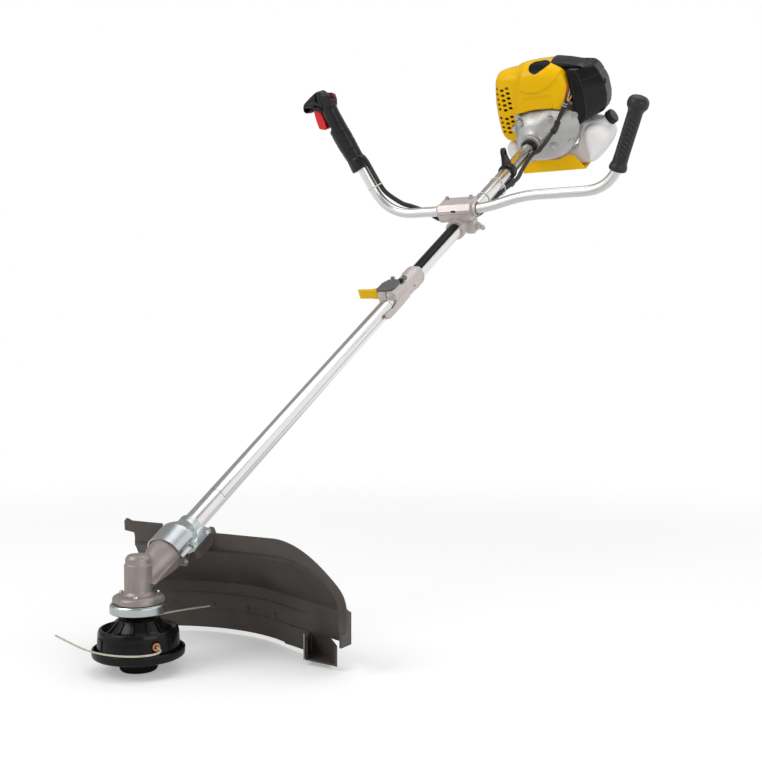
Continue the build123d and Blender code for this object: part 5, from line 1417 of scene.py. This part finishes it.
@dataclass
class FuelTank:
    """Milky tank with its two lobes and filler neck, the ridged cap and the yellow foot."""

    start: float = 1592.0
    end: float = 1642.0

    def build(self, bench: Bench) -> None:
        """Makes the tank, the cap and the foot."""
        body = rounded([(-85, -57), (-93, -42), (-93, -25), (-84, -12), (-62, -12), (-50, -54), (44, -54), (74, -44),
                        (86, -10), (92, 13), (106, 15), (128, 16), (142, 9), (157, -9), (162, -20), (156, -38), (140, -58),
                        (119, -75), (98, -83), (-64, -83)], 11, 7)
        right = rounded([(100, -4), (112, 9), (128, 12), (144, 6), (158, -12), (160, -26), (152, -42), (137, -60),
                         (119, -74), (104, -78)], 14, 8)
        left = rounded([(-84, -56), (-92, -42), (-92, -24), (-83, -13), (-62, -13), (-58, -56)], 9, 7)
        blobs = [drawn("tank_body", resampled(body, 200, True), SHAFT, self.start - 6, self.end, 9, 8),
                 drawn("tank_right", resampled(right, 140, True), SHAFT, 1562, self.end - 4, 20, 12),
                 drawn("tank_left", resampled(left, 110, True), SHAFT, 1576, self.end - 4, 11, 8),
                 turned("tank_stub", [(0, -20), (17, -20), (13.4, -4), (13, 0), (0, 0)], self.cap_axes(), 2, 48, False)]
        tank = joined("tank_shell", blobs)
        skin = tank.modifiers.new("one_skin", "REMESH")
        skin.mode, skin.voxel_size = "VOXEL", 2.2 * MM
        flow = tank.modifiers.new("flow", "SMOOTH")
        flow.factor, flow.iterations = 0.5, 14
        evaluated(tank)
        tidy_mesh(tank, 80, False)
        bench.standing(tank, Finishes.TANK, "fuel_tank")
        neck = turned("tank_neck", [(0, -12), (13, -12), (13, 10), (10, 10), (10, 0), (0, 0)], self.cap_axes(), 0.8, 48,
                      False)
        bench.dress(neck, Finishes.TANK, "fuel_tank")
        cap = turned("fuel_cap_body", [(13.4, 3), (16.5, 3), (16.5, 14), (15, 17), (0, 17), (0, 12.2), (13.4, 12.2)],
                     self.cap_axes(), 1.2, 288, True, 1.1, 24)
        bench.standing(cap, Finishes.BLACK, "fuel_cap")
        bench.plain(Finishes.RUBBER, "cap_gasket")
        bench.softened("tank_guard", Finishes.YELLOW, 1.2, 3)

    @staticmethod
    def cap_axes() -> Axes:
        """Frame of the filler neck: its third direction is the neck's axis."""
        c, s = leaning(60.0)
        side, rise = np.array(SHAFT.first), np.array(SHAFT.second)
        out, across = side * s + rise * c, side * c - rise * s
        return Axes(tuple(SHAFT.place(151, 9, 1612)), tuple(across), SHAFT.third, tuple(out))


@dataclass
class Engine:
    """Engine, its covers, tank and starter."""

    def build(self, bench: Bench) -> None:
        """Makes and dresses the engine's pieces."""
        f = Finishes
        for part in (TopCover(), AirCleaner(), ClutchHousing(), FuelTank()):
            part.build(bench)
        bench.plain(f.STEEL, "clutch_drum", "crankshaft")
        bench.plain(f.DARK_STEEL_AND_SLOT_SHADE, "clutch_shoes")
        bench.plain(f.CAST, "flywheel_fan")
        bench.softened("engine_block", f.CAST, 0.5)
        bench.softened("muffler", f.DARK_STEEL_AND_SLOT_SHADE, 1.5, 3)
        bench.softened("spark_plug", f.RUBBER, 1.0)
        bench.softened("carburettor", f.CAST, 0.8)
        bench.softened("choke_lever", f.BLACK, 0.6)
        bench.softened("recoil_housing", f.BLACK, 1.0)
        bench.softened("starter_pulley", f.BLACK, 0.4)
        bench.softened("starter_handle", f.BLACK, 2.0, 4)


# --------------------------------------------------------------------------
# Studio
# --------------------------------------------------------------------------
@dataclass
class Studio:
    """Camera, floor, lamps and the white surroundings."""

    eye: tuple[float, float, float] = (0.98225, -1.11125, 0.40629)
    azimuth: float = 29.5
    pitch: float = -1.5
    lens: float = 54.33
    surround: float = 0.5
    floor_albedo: float = 0.8
    floor_half: float = 9.0
    floor_glow: float = 0.3
    floor_middle: tuple[float, float, float] = (0.0, 0.3, 0.0)
    floor_near: float = 0.8
    floor_far: float = 2.0
    lamps_aim: tuple[float, float, float] = (0.05, 0.75, 0.5)
    room: float = 0.34
    panels: tuple[tuple[float, float, float, float], ...] = ((230, 26, 26, 42), (46, 18, 30, 44))

    def build(self) -> None:
        """Makes the whole studio."""
        self._camera()
        self._world()
        self._floor()
        self._lamps()
        bpy.context.scene.view_settings.view_transform = "Standard"

    def _camera(self) -> None:
        """Camera at the eye, looking level with a slight downward pitch."""
        data = bpy.data.cameras.new("camera")
        data.lens, data.sensor_width = self.lens, 36.0
        data.clip_end = 50.0
        camera = bpy.data.objects.new("camera", data)
        bpy.context.scene.collection.objects.link(camera)
        turn, dip = math.radians(self.azimuth), math.radians(self.pitch)
        look = Vector((-math.sin(turn) * math.cos(dip), math.cos(turn) * math.cos(dip), math.sin(dip)))
        camera.location = self.eye
        camera.rotation_euler = look.to_track_quat("-Z", "Y").to_euler()
        bpy.context.scene.camera = camera

    @staticmethod
    def _joined_value(tree: bpy.types.NodeTree, operation: str, first: object, second: object
                      ) -> bpy.types.NodeSocket:
        """A Math node's result."""
        return math_node(tree, operation, first, second).outputs[0]

    def _seen_white(self, tree: bpy.types.NodeTree, gloss: bool = True) -> bpy.types.NodeSocket:
        """1 for rays from the camera, through glass and, when asked, from gloss, and 0 for the rest."""
        path = tree.nodes.new("ShaderNodeLightPath")
        total = self._joined_value(tree, "MAXIMUM", path.outputs["Is Camera Ray"], path.outputs["Is Transmission Ray"])
        return self._joined_value(tree, "MAXIMUM", total, path.outputs["Is Glossy Ray"]) if gloss else total

    def _world(self) -> None:
        """Even soft light: white where it is seen, and for gloss a dim room with bright panels on both sides."""
        world = bpy.data.worlds.new("surroundings")
        world.use_nodes = True
        bpy.context.scene.world = world
        tree = world.node_tree
        light = tree.nodes["Background"]
        light.inputs["Color"].default_value = (1, 1, 1, 1)
        light.inputs["Strength"].default_value = self.surround
        seen = tree.nodes.new("ShaderNodeBackground")
        seen.inputs["Color"].default_value = (1, 1, 1, 1)
        place = tree.nodes.new("ShaderNodeTexCoord")
        room = self.room
        for bearing, lift, inner, outer in self.panels:
            turn, rise = math.radians(bearing), math.radians(lift)
            near = tree.nodes.new("ShaderNodeVectorMath")
            near.operation = "DOT_PRODUCT"
            near.inputs[1].default_value = (math.cos(turn) * math.cos(rise), math.sin(turn) * math.cos(rise),
                                            math.sin(rise))
            tree.links.new(place.outputs["Generated"], near.inputs[0])
            soft = tree.nodes.new("ShaderNodeMapRange")
            soft.interpolation_type = "SMOOTHSTEP"
            soft.inputs["From Min"].default_value = math.cos(math.radians(outer))
            soft.inputs["From Max"].default_value = math.cos(math.radians(inner))
            tree.links.new(near.outputs["Value"], soft.inputs["Value"])
            room = self._joined_value(tree, "MAXIMUM", soft.outputs["Result"], room)
        tree.links.new(self._joined_value(tree, "MAXIMUM", room, self._seen_white(tree, False)),
                       seen.inputs["Strength"])
        mix = tree.nodes.new("ShaderNodeMixShader")
        tree.links.new(self._seen_white(tree), mix.inputs["Fac"])
        tree.links.new(light.outputs[0], mix.inputs[1])
        tree.links.new(seen.outputs[0], mix.inputs[2])
        tree.links.new(mix.outputs[0], tree.nodes["World Output"].inputs["Surface"])

    def _floor(self) -> None:
        """Wide pale floor: it keeps the shadows near the machine and fades to plain white away from it."""
        half = self.floor_half
        corners = np.array([(-half, -half, 0), (half, -half, 0), (half, half, 0), (-half, half, 0)], float)
        floor = mesh_object("studio_floor", corners, [(0, 1, 2, 3)])
        paint = bpy.data.materials.new("floor_paper")
        paint.use_nodes = True
        tree = paint.node_tree
        shader = tree.nodes["Principled BSDF"]
        shader.inputs["Base Color"].default_value = (*[self.floor_albedo] * 3, 1)
        shader.inputs["Roughness"].default_value = 1.0
        shader.inputs["Specular IOR Level"].default_value = 0.0
        seen = self._seen_white(tree)
        glow = tree.nodes.new("ShaderNodeEmission")
        lift = self._joined_value(tree, "MULTIPLY", self._seen_white(tree, False), self.floor_glow)
        tree.links.new(lift, glow.inputs["Strength"])
        lifted = tree.nodes.new("ShaderNodeAddShader")
        tree.links.new(shader.outputs[0], lifted.inputs[0])
        tree.links.new(glow.outputs[0], lifted.inputs[1])
        white = tree.nodes.new("ShaderNodeEmission")
        place = tree.nodes.new("ShaderNodeTexCoord")
        reach = tree.nodes.new("ShaderNodeVectorMath")
        reach.operation = "DISTANCE"
        reach.inputs[1].default_value = self.floor_middle
        tree.links.new(place.outputs["Object"], reach.inputs[0])
        far = tree.nodes.new("ShaderNodeMapRange")
        far.interpolation_type = "SMOOTHSTEP"
        far.inputs["From Min"].default_value = self.floor_near
        far.inputs["From Max"].default_value = self.floor_far
        tree.links.new(reach.outputs["Value"], far.inputs["Value"])
        mix = tree.nodes.new("ShaderNodeMixShader")
        tree.links.new(self._joined_value(tree, "MULTIPLY", far.outputs["Result"], seen), mix.inputs["Fac"])
        tree.links.new(lifted.outputs[0], mix.inputs[1])
        tree.links.new(white.outputs[0], mix.inputs[2])
        tree.links.new(mix.outputs[0], tree.nodes["Material Output"].inputs["Surface"])
        floor.data.materials.append(paint)

    def _lamps(self) -> None:
        """A broad key from the upper left, a fill from the right and a soft top light."""
        middle = Vector(self.lamps_aim)
        for name, place, size, power in (("key", (-1.2, -1.6, 2.4), 1.6, 26), ("fill", (2.6, -0.6, 1.0), 1.8, 20),
                                         ("top", (0.3, 1.0, 3.0), 2.2, 20)):
            data = bpy.data.lights.new(name, "AREA")
            data.size, data.energy = size, power
            lamp = bpy.data.objects.new(name, data)
            bpy.context.scene.collection.objects.link(lamp)
            lamp.location = place
            lamp.rotation_euler = (middle - Vector(place)).to_track_quat("-Z", "Y").to_euler()


def main() -> None:
    """Builds every sub-assembly around the frame, then the studio."""
    logging.basicConfig(level=logging.INFO, format="%(message)s")
    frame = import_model()
    bench = Bench(frame)
    for assembly in (TrimmerHead(), GearHead(), Guard(), Shaft(), Handlebar(), Wiring(), Engine()):
        assembly.build(bench)
    Studio().build()


if __name__ == "__main__":
    main()
